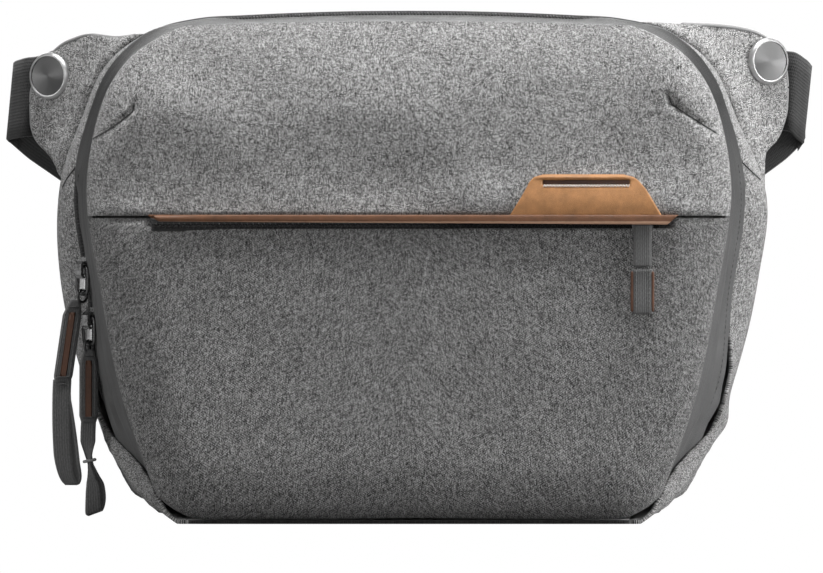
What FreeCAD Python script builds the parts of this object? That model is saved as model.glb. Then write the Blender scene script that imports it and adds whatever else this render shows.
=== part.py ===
import FreeCAD, Part
import os
import re

import Sketcher

# A sling bag for a camera, standing on its base. Millimetres. +X is to the right
# as seen from the front, the front faces -Y, +Z is up, and the origin is the
# middle of the flat base. The rear body (back, base, sides, wings) is fixed. The
# front cover (front pocket and the gusset behind it) tips forward about its lower
# edge once the zip that runs over the top and down both sides is open.

Vector = FreeCAD.Vector
doc = FreeCAD.newDocument("CameraBag")
sheet = doc.addObject("Spreadsheet::Sheet", "Sizes")
sheet_row = 0
nodes = []


def sizes(**values):
    """Puts each named size in a cell of its own."""
    global sheet_row
    for alias, number in values.items():
        sheet_row += 1
        sheet.set(f"A{sheet_row}", alias)
        sheet.set(f"B{sheet_row}", str(number))
        sheet.setAlias(f"B{sheet_row}", alias)


def size(alias):
    return float(sheet.get(alias))


def formula(words):
    """Turns the sheet's names in a formula into references to the sheet."""
    def refer(match):
        return f"Sizes.{match[0]}" if match[0] in ALIASES else match[0]
    return re.sub("[a-z_][a-z_0-9]*", refer, str(words))


def worth(words):
    return float(sheet.evalExpression(formula(words)))


# ---- driving dimensions -------------------------------------------------------

# Half widths of the bag at nine heights, base to top, for each outline. The
# stretch of zip_half from the third height to the fifth is straight.
LEVELS = (4, 18, 60, 106, 152, 190, 212, 225, 230)
OUTLINES = {
    "front": (104, 118, 132.5, 141.7, 148.3, 142, 130.5, 113, 96),
    "zip": (104, 119.5, 143.3, 149.3, 155.3, 147.5, 136.5, 119, 98),
    "rim": (104, 131, 148.5, 153.5, 158.5, 149.5, 138.5, 120.5, 99),
    "side": (108, 132, 149.5, 159.5, 163, 152, 140.5, 122, 100),
    "back": (100, 124, 145, 156, 161, 153, 141, 123, 102),
}
for outline_name, halves in OUTLINES.items():
    for number, half in enumerate(halves):
        sizes(**{f"{outline_name}_half_{number}": half})
for number, level in enumerate(LEVELS):
    sizes(**{f"level_{number}": level})

sizes(
    zip_rise=3.5,            # the zip's outline stands this much above the front's
    front_arch=1, zip_arch=3.5, back_arch=0,    # rise of the top line at the middle
    edge_y=-50,              # where the front pocket's panel meets the gusset
    shoulder_y=-61, shoulder_scale=0.955, crown_y=-66, crown_scale=0.84,
    scale_height=117,        # the pocket's bulge narrows towards this height
    gusset_end=-8, rim_y=-1.6, side_y=14, back_y=46,
    cloth=2.2, gusset_cloth=1.8, shell_cloth=2.5, tape_cloth=1.0,
    coil_rise=1.3, zip_gap=0.3, chamfer=6,
    flap_reach=3.2, base_trim=0.4, corner_half=100, parting_z=44, stop_half=2.2, stop_x=131.5,
    panel_split=140.3, pocket_gap=6.3, pocket_half=119,
)

# Back, padding and tablet sleeve.
sizes(
    back_cloth=2.5, padding_front=40, padding_inset=5,
    sleeve_front=33, sleeve_cloth=1.5, sleeve_half=118, sleeve_top=188,
    front_pad_rear=-45, front_pad_depth=4, front_pad_inset=7,
    organiser_y=-51.5, organiser_cloth=1, organiser_half=104, organiser_top=104,
)

# Wings, anchor discs and strap ends, in a frame turned by wing_angle about the
# point (wing_root, wing_y).
sizes(
    wing_angle=32, wing_root=118, wing_y=12, wing_depth=5, wing_end=72,
    disc_reach=59, left_disc_z=208, right_disc_z=215,
    disc_radius=11, disc_depth=3, disc_gap=0.3, disc_chamfer=1.1,
    post_radius=3, post_bore=3.06, washer_radius=8, washer_depth=1.2,
    strap_width=38, strap_cloth=1.6, strap_end_start=50, strap_end_stop=76,
    left_strap_end_z=199.5, right_strap_end_z=204,
)

# Carrying strap, its pad and its adjuster.
sizes(
    strap_y=56, strap_z=138, strap_half=104,
    pad_start=-96, pad_stop=36, pad_tall=48, pad_front=51.5, pad_rear=60.5,
    slot_tall=39, slot_deep=2.4,
    frame_start=60, frame_long=24, frame_tall=44, frame_front=52.6, frame_rear=59.4,
    ear_thick=2.4, ear_long=8, ear_rear=65, pin_x=63, pin_y=62.4,
    pin_radius=1.5, pin_bore=1.56, knuckle_radius=2.5,
    lever_long=30, lever_thick=2, lever_wide=36, tab_long=13, tab_wide=14, tab_cloth=1.4,
)

# Sliders and pulls. The main sliders face forward and outward on the left side.
sizes(
    upper_slider_z=117, lower_slider_z=93.5, slider_angle=-45,
    plate_half=3.6, plate_long=12, plate_inner=2.9, plate_outer=4.3,
    keel_half=0.18, under_start=1.9, under_stop=3.0,
    crown_half=2.0, crown_long=8, crown_out=8.2, crown_wall=1.4,
    link_inner=2.6, link_wire=1.5, link_long=13.5, link_y=-5.4, link_pin_z=0.8,
    ring_radius=2.8, ring_wire=0.6,
    core_half=4.3, core_thick=3.2, upper_core_long=40.8, lower_core_long=35.8,
    upper_core_shift=-8.4, lower_core_shift=0, ear_half=1.8, ear_drop=3.4,
    upper_core_back=1.2,     # the upper pull hangs behind the lower one's swing
    lower_core_back=-1,
    loop_half=5.8, loop_wall=1.4, loop_deep=3.2, upper_loop_long=48, lower_loop_long=42,
    upper_loop_shift=-8.6, lower_loop_shift=1.2,
)

# Front pocket's zip, leather trim and pull.
sizes(
    pocket_tape_y=-65.2, pocket_tape_deep=1.2,
    pocket_slider_x=107, pocket_slider_half=3.6,
    pocket_slider_rear=-65.6, pocket_slider_front=-67.2,
    welt_left=-120, welt_right=123.7, welt_low=137.5, welt_high=142.2,
    welt_rear=-69.4, welt_front=-70.8, welt_lip=1.2,
    tab_left=46.3, tab_right=115.7, tab_top_left=58, tab_top_right=101,
    tab_shoulder=108.8, tab_shoulder_z=153.6, tab_top=160.5,
    tab_rear=-66.2, tab_front=-67.8,
    web_half=4.15, web_top=134.6, web_low=118.8, web_rear=-67.5, web_front=-68.7,
    small_ring=1.55, small_wire=0.45, pull_half=5.2, pull_top=116.2, pull_low=96.6,
    pull_thick=2.4,
)

# Dividers.
sizes(
    divider_x=44, divider_thick=6, divider_front=-40, divider_rear=31,
    divider_low=4, divider_top=174, flap_gap=0.6, flap_tall=31,
)
doc.recompute()
ALIASES = {sheet.get(f"A{row}"): row for row in range(1, sheet_row + 1)}


# ---- making sketches and solids ------------------------------------------------

def draw_ring(sketch, ring):
    """Draws one closed ring. A ring is a list of corners (formulas), a circle
    ("circle", x, y, radius), or a slot ("slot", x, low, high, radius)."""
    if ring[0] == "circle":
        x, y, radius = (worth(word) for word in ring[1:])
        circle = sketch.addGeometry(
            Part.Circle(Vector(x, y, 0), Vector(0, 0, 1), radius), False)
        add_size(sketch, "DistanceX", (-1, 1, circle, 3), ring[1])
        add_size(sketch, "DistanceY", (-1, 1, circle, 3), ring[2])
        add_size(sketch, "Radius", (circle,), ring[3])
        return
    corners = [Vector(worth(x), worth(y), 0) for x, y in ring]
    first = len(sketch.Geometry)
    count = len(corners)
    for number in range(count):
        line = Part.LineSegment(corners[number], corners[(number + 1) % count])
        sketch.addGeometry(line, False)
    for number in range(count):
        before = first + (number - 1) % count
        sketch.addConstraint(
            Sketcher.Constraint("Coincident", before, 2, first + number, 1))
    for number, (x, y) in enumerate(ring):
        add_size(sketch, "DistanceX", (-1, 1, first + number, 1), x)
        add_size(sketch, "DistanceY", (-1, 1, first + number, 1), y)


def add_size(sketch, kind, where, words):
    number = sketch.addConstraint(Sketcher.Constraint(kind, *where, worth(words)))
    if any(letter.isalpha() for letter in str(words)):
        sketch.setExpression(f"Constraints[{number}]", formula(words))


def place(item, x=0, y=0, z=0, turn=None, axis=(0, 0, 1)):
    """Binds an object's place, and its turn in degrees, to the sheet."""
    if turn is not None:
        item.Placement.Rotation = FreeCAD.Rotation(Vector(*axis), worth(turn))
        item.setExpression("Placement.Rotation.Angle", f"({formula(turn)}) * 1 deg")
    for letter, words in zip("xyz", (x, y, z)):
        item.setExpression(f"Placement.Base.{letter}", formula(words))
    return item


def keep(item, label):
    """Marks a document object as a sub-part that is written to a file."""
    item.Label = label
    nodes.append(item)
    return item


def new_body(name):
    return doc.addObject("PartDesign::Body", name)


def body_sketch(body, name, role, offset, rings):
    sketch = body.newObject("Sketcher::SketchObject", name)
    plane = [item for item in body.Origin.OriginFeatures if item.Role == role][0]
    sketch.AttachmentSupport = (plane, [""])
    sketch.MapMode = "FlatFace"
    sketch.setExpression("AttachmentOffset.Base.z", formula(offset))
    for ring in rings:
        draw_ring(sketch, ring)
    return sketch


def add_pad(body, name, role, start, length, rings):
    """Pads rings along the plane's own normal: XY +Z, XZ -Y, YZ +X."""
    sketch = body_sketch(body, f"{name}_sketch", role, start, rings)
    pad = body.newObject("PartDesign::Pad", f"{name}_pad")
    pad.Profile = sketch
    pad.setExpression("Length", formula(length))
    return pad


def padded(name, role, start, length, rings, label=None):
    body = new_body(name)
    add_pad(body, name, role, start, length, rings)
    return keep(body, label) if label else body


def revolved(name, ring):
    """Turns a ring in the XZ plane a full turn about Z."""
    body = new_body(name)
    sketch = body_sketch(body, f"{name}_sketch", "XZ_Plane", "0", [ring])
    turn = body.newObject("PartDesign::Revolution", f"{name}_turn")
    turn.Profile = sketch
    turn.ReferenceAxis = (sketch, ["V_Axis"])
    turn.Angle = 360
    return body


def box(name, x, y, z):
    """A block between two corners, each of x, y and z a pair of formulas."""
    block = doc.addObject("Part::Box", name)
    for side, (low, high) in zip(("Length", "Width", "Height"), (x, y, z)):
        block.setExpression(side, f"({formula(high)}) - ({formula(low)})")
    return place(block, x[0], y[0], z[0])


def cut(name, base, tool):
    result = doc.addObject("Part::Cut", name)
    result.Base, result.Tool = base, tool
    return result


def common(name, base, tool):
    result = doc.addObject("Part::Common", name)
    result.Base, result.Tool = base, tool
    return result


def fuse(name, *shapes):
    result = doc.addObject("Part::MultiFuse", name)
    result.Shapes = list(shapes)
    result.Refine = True
    return result


def mirrored_box(name, side, x, y, z):
    """A box on the right (side 1) or its mirror image on the left (side -1)."""
    low, high = x
    span = (low, high) if side > 0 else (f"-({high})", f"-({low})")
    return box(name, span, y, z)


# ---- outlines and shells --------------------------------------------------------

def outline_ring(outline, inset="0", scale="1", rise="0", arch="0", floor="0"):
    """One outline as a closed ring, set in by inset on every side."""
    right = []
    last = len(LEVELS) - 1
    for number in range(len(LEVELS)):
        half = f"({outline}_half_{number} - ({inset})) * ({scale})"
        tall = f"level_{number}"
        if number == 0:
            tall = f"({floor}) + ({inset})"
        share = {last: 1, last - 1: 0.8, last - 2: 0.4}.get(number, 0)
        if share:
            tall = f"{tall} + ({rise}) * {share} - ({inset}) * {share}"
        if number == 1:
            tall = f"{tall} + ({inset}) * 0.4"
        tall = f"scale_height + (({tall}) - scale_height) * ({scale})"
        right.append((half, tall))
    top = f"level_{last} + ({rise}) + ({arch}) - ({inset})"
    middle = [("0", f"scale_height + (({top}) - scale_height) * ({scale})")]
    left = [(f"-({half})", tall) for half, tall in reversed(right)]
    return right + middle + left


def section(name, y, ring):
    """An outline standing in the XZ plane at the given depth."""
    sketch = doc.addObject("Sketcher::SketchObject", name)
    draw_ring(sketch, ring)
    return place(sketch, y=y, turn="90", axis=(1, 0, 0))


def loft(name, sections):
    """A solid through outlines, each (depth, ring)."""
    sketches = []
    for number, (y, ring) in enumerate(sections):
        sketches.append(section(f"{name}_section_{number}", y, ring))
    solid = doc.addObject("Part::Loft", name)
    solid.Sections = sketches
    solid.Solid = True
    solid.Ruled = True
    return solid


ZIP = dict(rise="zip_rise", arch="zip_arch", floor="4")
FRONT = dict(arch="front_arch", floor="4")
REAR = dict(rise="zip_rise", arch="zip_arch", floor="-base_trim")
BACK = dict(arch="back_arch")


def pocket_solid(name, inset, depth):
    """The bulging front pocket, set in by inset and back by depth."""
    return loft(name, [
        (f"edge_y + {'0.01' if inset == '0' else '1'}", outline_ring("front", inset, **FRONT)),
        (f"shoulder_y + {depth}", outline_ring("front", inset, "shoulder_scale", **FRONT)),
        (f"crown_y + {depth}", outline_ring("front", inset, "crown_scale", **FRONT)),
    ])


def band(name, near_y, near, far_y, far, thickness):
    """A closed band between two rings given as (outline, inset, options)."""
    outer = loft(f"{name}_outer", [
        (near_y, outline_ring(near[0], near[1], **near[2])),
        (far_y, outline_ring(far[0], far[1], **far[2]))])
    inner = loft(f"{name}_inner", [
        (f"{near_y} - 0.01", outline_ring(near[0], f"{near[1]} + {thickness}", **near[2])),
        (f"{far_y} + 0.01", outline_ring(far[0], f"{far[1]} + {thickness}", **far[2]))])
    return cut(f"{name}_band", outer, inner)


WIDE = ("-200", "200")
TALL = ("-20", "260")


# ---- front cover ------------------------------------------------------------------

def front_panels():
    shell = cut("pocket_shell", pocket_solid("pocket_outer", "0", "0"),
                pocket_solid("pocket_inner", "cloth", "cloth"))
    upper_zone = box("upper_zone", WIDE, ("-90", "edge_y"), ("panel_split + 0.2", "260"))
    keep(common("upper_front", shell, upper_zone), "front_panel_upper")
    lower_zone = box("lower_zone", WIDE, ("-90", "edge_y"), ("-20", "panel_split"))
    mouth = box("pocket_mouth", ("-pocket_half", "pocket_half"), ("-90", "edge_y - 6"),
                ("panel_split - pocket_gap", "260"))
    lower = common("lower_front_whole", shell, lower_zone)
    keep(cut("lower_front", lower, mouth), "front_panel_lower")


def gusset():
    whole = band("gusset", "edge_y + 0.3", ("front", "0", FRONT),
                 "gusset_end", ("zip", "chamfer", ZIP), "gusset_cloth")
    base = box("gusset_mouth", ("-corner_half - 6", "corner_half + 6"),
               ("-60", "20"), ("-20", "40"))
    keep(cut("gusset_open", whole, base), "front_gusset")


def zip_band(name, label, y, near, far, rise, thickness):
    """Half of the main zip on a 45 degree chamfer, ending at the parting height."""
    whole = band(name, y[0], ("zip", f"{near} - {rise}", ZIP),
                 y[1], ("zip", f"{far} - {rise}", ZIP), thickness)
    ends = box(f"{name}_ends", WIDE, ("-30", "30"), ("-20", "parting_z"))
    return keep(cut(f"{name}_cut", whole, ends), label)


def main_zip():
    front = ("gusset_end + 0.3", "gusset_end + 3 - zip_gap")
    rear = ("gusset_end + 3 + zip_gap", "gusset_end + chamfer")
    zip_band("front_tape", "front_zip_tape", front, "chamfer - 0.3", "3 + zip_gap", "0",
             "tape_cloth")
    zip_band("rear_tape", "rear_zip_tape", ("gusset_end + 4", rear[1]), "2", "0", "0",
             "tape_cloth")
    lift = "(coil_rise + 0.05)"
    zip_band("front_coil", "front_zip_coil",
             (f"gusset_end + 1.5 - {lift}", f"gusset_end + 3 - zip_gap - {lift}"),
             "4.5", "3 + zip_gap", "0", "coil_rise")
    zip_band("rear_coil", "rear_zip_coil",
             ("gusset_end + 3 + zip_gap", "gusset_end + 4.9"),
             "3 - zip_gap", "1.1", lift, "coil_rise")


def end_stops():
    """A stop on the rear tape at each lower end of the main zip."""
    stops = []
    for side in (-1, 1):
        stop = padded(f"stop_{side + 1}", "XY_Plane", "parting_z - 3.4", "3", [[
            ("-stop_half", "-1"), ("stop_half", "-1"), ("stop_half", "1"),
            ("-stop_half", "1")]])
        place(stop, f"{side} * stop_x", "gusset_end + 4.5", "0", f"{side} * 45")
        stops.append(stop)
    both = doc.addObject("Part::Compound", "end_stops")
    both.Links = stops
    keep(both, "zip_end_stops")


def front_inside():
    pad = loft("front_pad", [
        ("front_pad_rear", outline_ring("front", "front_pad_inset", **FRONT)),
        ("front_pad_rear - front_pad_depth",
         outline_ring("front", "front_pad_inset", **FRONT))])
    keep(pad, "front_padding")
    keep(box("organiser", ("-organiser_half", "organiser_half"),
             ("organiser_y - organiser_cloth", "organiser_y"), ("20", "organiser_top")),
         "pocket_organiser")


def pocket_zip():
    gap_low = "panel_split - pocket_gap"
    tape_y = ("pocket_tape_y", "pocket_tape_y + pocket_tape_deep")
    span = ("-pocket_half + 0.5", "pocket_half - 0.5")
    middle = "panel_split - pocket_gap / 2"
    keep(box("pocket_low_tape", span, tape_y, (f"{gap_low} + 0.1", f"{middle} - 0.1")),
         "pocket_zip_lower_tape")
    keep(box("pocket_high_tape", span, tape_y, (f"{middle} + 0.1", "panel_split + 0.1")),
         "pocket_zip_upper_tape")


def leather():
    keep(padded("welt", "YZ_Plane", "welt_left", "welt_right - welt_left", [[
        ("welt_front", "welt_low"), ("welt_rear", "welt_low"),
        ("welt_rear", "welt_high - welt_lip"), ("crown_y - 0.02", "welt_high - welt_lip"),
        ("crown_y - 0.02", "welt_high"), ("welt_front", "welt_high")]]), "leather_welt")
    keep(padded("tab", "XZ_Plane", "-tab_rear", "tab_rear - tab_front", [[
        ("tab_left", "welt_high + 0.2"), ("tab_right", "welt_high + 0.2"),
        ("tab_shoulder", "tab_shoulder_z"), ("tab_top_right + 4", "tab_top - 2"),
        ("tab_top_right", "tab_top"), ("tab_top_left", "tab_top"),
        ("tab_top_left - 4", "tab_top - 2"), ("tab_left + 6", "tab_shoulder_z - 3")]]),
        "leather_tab")


# ---- rear body --------------------------------------------------------------------

def rear_shell():
    """Back, base, sides and top of the fixed body, cut on the parting line."""
    def whole(name, inset, back_step):
        flap = f"{inset} - flap_reach"
        return loft(name, [
            (f"edge_y - ({back_step})", outline_ring("front", flap, floor="flap_reach - base_trim")),
            ("rim_y", outline_ring("rim", inset, **REAR)),
            ("side_y", outline_ring("side", inset, **REAR)),
            (f"back_y + ({back_step})",
             outline_ring("back", inset, floor="-base_trim", **BACK))])

    outer = whole("rear_outer", "0", "0")
    shell = cut("rear_shell", outer, whole("rear_inner", "shell_cloth", "0.01"))
    ahead = padded("rear_parting", "YZ_Plane", "-200", "400", [[
        ("rim_y", "parting_z"), ("edge_y - 2", "3"), ("-90", "3"),
        ("-90", "260"), ("rim_y", "260")]])
    wrapped = cut("rear_wrapped", shell, ahead)
    middle = ("-corner_half", "corner_half")
    keep(common("base", wrapped, box("base_zone", middle, ("-60", "60"), ("0", "40"))),
         "bottom_panel")
    keep(common("top", wrapped, box("top_zone", middle, ("-60", "60"), ("200", "260"))),
         "top_panel")
    for side, word in ((-1, "left"), (1, "right")):
        zone = mirrored_box(f"{word}_side_zone", side, ("corner_half", "200"),
                            ("-60", "60"), ("0", "260"))
        keep(common(f"{word}_side", wrapped, zone), f"{word}_side_panel")
    back = loft("back_sheet", [
        ("back_y + 0.02", outline_ring("back", "0", **BACK)),
        ("back_y + back_cloth", outline_ring("back", "2", **BACK))])
    keep(back, "back_panel")
    padding = loft("back_pad", [
        ("padding_front", outline_ring("back", "padding_inset", **BACK)),
        ("back_y - 0.05", outline_ring("back", "padding_inset", **BACK))])
    keep(padding, "back_padding")
    sleeve = box("sleeve", ("-sleeve_half", "sleeve_half"),
                 ("sleeve_front", "sleeve_front + sleeve_cloth"), ("22", "sleeve_top"))
    keep(sleeve, "tablet_sleeve")
    return outer


def turned(item, side):
    """Sets a piece drawn in the wing's own frame at the right or left wing."""
    angle = "wing_angle" if side > 0 else "-wing_angle"
    return place(item, f"{side} * wing_root", "wing_y", "0", angle)


def wing(side, word, outer):
    """The padded wing that the strap is anchored to; the frame's own +Y is back."""
    end = "wing_end"
    corners = [
        ("0", "152"), ("46", "158"), ("53", "167"), ("66", "176"), (end, "184"),
        (end, "205"), (f"{end} - 8", "217"), (f"{end} - 19", "223.5"),
        ("34", "228"), ("0", "229")]
    corners = [(f"{side} * ({x})", z) for x, z in corners]
    hole = ("circle", f"{side} * disc_reach", f"{word}_disc_z", "post_bore")
    plate = padded(f"{word}_wing_plate", "XZ_Plane", "-wing_depth", "wing_depth",
                   [corners, hole])
    turned(plate, side)
    keep(cut(f"{word}_wing_cut", plate, outer), f"{word}_wing")


def anchor(side, word):
    """Disc, post and retaining washer, and the strap's end held between them."""
    centre = (f"{side} * disc_reach", f"{word}_disc_z")
    width = "strap_width / 2"
    middle = f"{word}_strap_end_z"
    near, far = f"{side} * strap_end_start", f"{side} * strap_end_stop"
    corners = [(near, f"{middle} - {width}"), (far, f"{middle} - {width}"),
               (far, f"{middle} + {width}"), (near, f"{middle} + {width}")]
    hole = ("circle", *centre, "post_bore")
    end_start = "wing_depth + disc_gap + strap_cloth"
    end = padded(f"{word}_strap_end", "XZ_Plane", f"-({end_start})", "strap_cloth",
                 [corners, hole])
    keep(turned(end, side), f"{word}_strap_end")

    disc = revolved(f"{word}_disc_turned", [
        ("0", "disc_gap"), ("disc_radius", "disc_gap"),
        ("disc_radius", "disc_gap + disc_depth - disc_chamfer"),
        ("disc_radius - disc_chamfer", "disc_gap + disc_depth"),
        ("disc_radius - 2", "disc_gap + disc_depth"),
        ("disc_radius - 2.3", "disc_gap + disc_depth - 0.4"),
        ("0", "disc_gap + disc_depth - 0.4")])
    place(disc, *local_point(side, word, "0"))
    disc.Placement.Rotation = wing_turn(side)
    keep(disc, f"{word}_anchor_disc")
    depth = "wing_depth + disc_gap * 2 + strap_cloth"
    post = doc.addObject("Part::Cylinder", f"{word}_post")
    post.setExpression("Radius", formula("post_radius"))
    post.setExpression("Height", formula(f"{depth} + washer_depth + disc_gap"))
    place(post, *local_point(side, word, f"{depth} + washer_depth"))
    post.Placement.Rotation = wing_turn(side)
    keep(post, f"{word}_anchor_post")
    washer = padded(f"{word}_washer", "XY_Plane", "0", "washer_depth", [
        ("circle", "0", "0", "washer_radius"), ("circle", "0", "0", "post_radius")])
    place(washer, *local_point(side, word, f"{depth} + washer_depth"))
    washer.Placement.Rotation = wing_turn(side)
    keep(washer, f"{word}_anchor_washer")


def wing_turn(side):
    """Turns +Z onto the wing's outward normal."""
    lay = FreeCAD.Rotation(Vector(1, 0, 0), 90)
    return FreeCAD.Rotation(Vector(0, 0, 1), side * size("wing_angle")) * lay


def local_point(side, word, depth):
    """A point on the disc's axis, depth behind the wing's front face."""
    reach = f"(disc_reach * cos(wing_angle * 1 deg) - ({depth}) * sin(wing_angle * 1 deg))"
    back = f"(disc_reach * sin(wing_angle * 1 deg) + ({depth}) * cos(wing_angle * 1 deg))"
    return f"{side} * (wing_root + {reach})", f"wing_y + {back}", f"{word}_disc_z"


# ---- main zip's sliders and pulls -----------------------------------------------------

def zip_point(word):
    """The zip's middle line on the left side at a slider's height."""
    rise = "(zip_half_4 - zip_half_2) / (level_4 - level_2)"
    half = f"(zip_half_2 + ({word}_slider_z - level_2) * {rise} - 3)"
    return f"-{half}", "gusset_end + 3", f"{word}_slider_z"


def slider(word):
    """Plate over the coils, keel between them, half plate under the rear tape, and
    an open crown that the pull hangs in. In the slider's own frame -Y is outward."""
    body = new_body(f"{word}_slider_body")
    add_pad(body, f"{word}_plate", "XZ_Plane", "plate_inner", "plate_outer - plate_inner", [[
        ("-plate_half", "-plate_long / 2 + 1.5"), ("-plate_half + 1.5", "-plate_long / 2"),
        ("plate_half - 1.5", "-plate_long / 2"), ("plate_half", "-plate_long / 2 + 1.5"),
        ("plate_half", "plate_long / 2 - 1.5"), ("plate_half - 1.5", "plate_long / 2"),
        ("-plate_half + 1.5", "plate_long / 2"), ("-plate_half", "plate_long / 2 - 1.5")]])
    add_pad(body, f"{word}_keel", "XZ_Plane", "-under_start", "under_start + plate_inner + 0.2", [[
        ("-keel_half", "-0.8"), ("keel_half", "-0.8"), ("keel_half", "0.8"),
        ("-keel_half", "0.8")]])
    add_pad(body, f"{word}_under", "XZ_Plane", "-under_stop", "under_stop - under_start", [[
        ("-plate_half + 0.6", "-4"), ("keel_half", "-4"), ("keel_half", "4"),
        ("-plate_half + 0.6", "4")]])
    half = "crown_long / 2"
    outer = [("-plate_outer + 0.2", f"-{half}"), ("-plate_outer + 0.2", half),
             ("-crown_out + 1.4", half), ("-crown_out", f"{half} - 1.6"),
             ("-crown_out", f"-{half} + 1.6"), ("-crown_out + 1.4", f"-{half}")]
    inner = [("-plate_outer", f"-{half} + crown_wall"), ("-plate_outer", f"{half} - crown_wall"),
             ("-crown_out + crown_wall", f"{half} - crown_wall"),
             ("-crown_out + crown_wall", f"-{half} + crown_wall")]
    add_pad(body, f"{word}_crown", "YZ_Plane", "-crown_half", "crown_half * 2", [outer, inner])
    place(body, *zip_point(word), turn="slider_angle")
    return keep(body, f"{word}_slider")


def pull_point(word):
    """Where a pull link's pin line crosses the slider's middle plane."""
    x, y, z = zip_point(word)
    lean = "link_y * cos(slider_angle * 1 deg)"
    return (f"{x} - link_y * sin(slider_angle * 1 deg)", f"{y} + {lean}", f"{z} + link_pin_z")


def pull(word):
    """Oblong link, ring, stitched core and webbing loop, hanging in a row."""
    outer, inner = "(link_inner + link_wire)", "link_inner"
    top = "link_wire / 2"
    link = [(f"-{outer}", f"{top} - 1.6"), (f"-{outer} + 1.6", top), (f"{outer} - 1.6", top),
            (outer, f"{top} - 1.6"), (outer, f"{top} - link_long + 2"),
            (f"{outer} - 2", f"{top} - link_long"), (f"-{outer} + 2", f"{top} - link_long"),
            (f"-{outer}", f"{top} - link_long + 2")]
    window = [(f"-{inner}", f"-{top}"), (inner, f"-{top}"),
              (inner, f"-link_long + {top} + link_wire + 0.8"),
              (f"{inner} - 1", f"-link_long + {top} + link_wire"),
              (f"-{inner} + 1", f"-link_long + {top} + link_wire"),
              (f"-{inner}", f"-link_long + {top} + link_wire + 0.8")]
    link_body = padded(f"{word}_link_body", "XZ_Plane", "-link_wire / 2", "link_wire",
                       [link, window])
    place(link_body, *pull_point(word), turn="slider_angle")
    keep(link_body, f"{word}_pull_link")

    ring_drop = "(link_long - link_wire * 1.5 + ring_radius - ring_wire - 0.45)"
    x, y, z = pull_point(word)
    ring = doc.addObject("Part::Torus", f"{word}_ring_torus")
    ring.setExpression("Radius1", formula("ring_radius"))
    ring.setExpression("Radius2", formula("ring_wire"))
    place(ring, x, y, f"{z} - {ring_drop}")
    across = FreeCAD.Rotation(Vector(0, 0, 1), size("slider_angle"))
    ring.Placement.Rotation = across * FreeCAD.Rotation(Vector(0, 1, 0), 90)
    keep(ring, f"{word}_pull_ring")

    top, low, shift = "ear_half - ring_radius - 0.6", f"-{word}_core_long", f"{word}_core_shift"
    core = padded(f"{word}_core_body", "XZ_Plane", "-core_thick / 2", "core_thick", [[
        ("ear_half", top), ("ear_half", f"{top} - ear_drop"),
        (f"{shift} + core_half", f"{top} - ear_drop"), (f"{shift} + core_half", low),
        (f"{shift} - core_half", low), (f"{shift} - core_half", top)]])
    place(core, x, f"{y} + {word}_core_back", f"{z} - {ring_drop}")
    room = doc.addObject("Part::Torus", f"{word}_ring_room")
    room.setExpression("Radius1", formula("ring_radius"))
    room.setExpression("Radius2", formula("ring_wire + 0.06"))
    place(room, x, y, f"{z} - {ring_drop}")
    room.Placement.Rotation = ring.Placement.Rotation
    keep(cut(f"{word}_core_cut", core, room), f"{word}_pull_core")

    low, half, shift = f"-{word}_loop_long", "loop_half", f"{word}_loop_shift"

    def oval(wall):
        """The loop's outline, set in by wall."""
        side, corner = f"{half} - {wall}", f"{half} - 3 - {wall} * 0.4"
        right = [(corner, f"{low} + {wall}"), (side, f"{low} + 3.5 + {wall} * 0.4"),
                 (side, f"-3 - {wall} * 0.4"), (corner, f"-{wall}")]
        left = [(f"-({reach})", level) for reach, level in reversed(right)]
        return [(f"{shift} + ({reach})", level) for reach, level in right + left]

    loop = padded(f"{word}_loop_body", "XZ_Plane", "-loop_deep / 2", "loop_deep",
                  [oval("0"), oval("loop_wall")])
    place(loop, x, f"{y} + {word}_core_back", f"{z} - {ring_drop} - {word}_core_long - 0.02")
    keep(loop, f"{word}_pull_loop")


# ---- pocket slider and pull -------------------------------------------------------------

def pocket_slider():
    """Slider, and the webbing and stitched pull that share one small ring."""
    half = "(pocket_slider_half + 1)"
    keep(box("pocket_slider_box",
             (f"pocket_slider_x - {half}", f"pocket_slider_x + {half}"),
             ("pocket_slider_front", "pocket_slider_rear"),
             ("panel_split - pocket_gap + 0.5", "panel_split - 0.5")), "pocket_slider")
    middle = "(web_rear + web_front) / 2"
    where = ("pocket_slider_x", middle, "(web_low + pull_top) / 2")

    def small_torus(name, wire):
        torus = doc.addObject("Part::Torus", name)
        torus.setExpression("Radius1", formula("small_ring"))
        torus.setExpression("Radius2", formula(wire))
        return place(torus, *where, turn="90", axis=(0, 1, 0))

    web = box("pocket_web", ("pocket_slider_x - web_half", "pocket_slider_x + web_half"),
              ("web_front", "web_rear"), ("web_low", "web_top"))
    tab = box("pocket_tab", ("pocket_slider_x - pull_half", "pocket_slider_x + pull_half"),
              (f"{middle} - pull_thick / 2", f"{middle} + pull_thick / 2"),
              ("pull_low", "pull_top"))
    for item, label in ((web, "pocket_pull_webbing"), (tab, "pocket_pull_tab")):
        room = small_torus(f"{item.Name}_room", "small_wire + 0.06")
        keep(cut(f"{item.Name}_cut", item, room), label)
    keep(small_torus("pocket_ring", "small_wire"), "pocket_pull_ring")


# ---- carrying strap ----------------------------------------------------------------------

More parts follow.
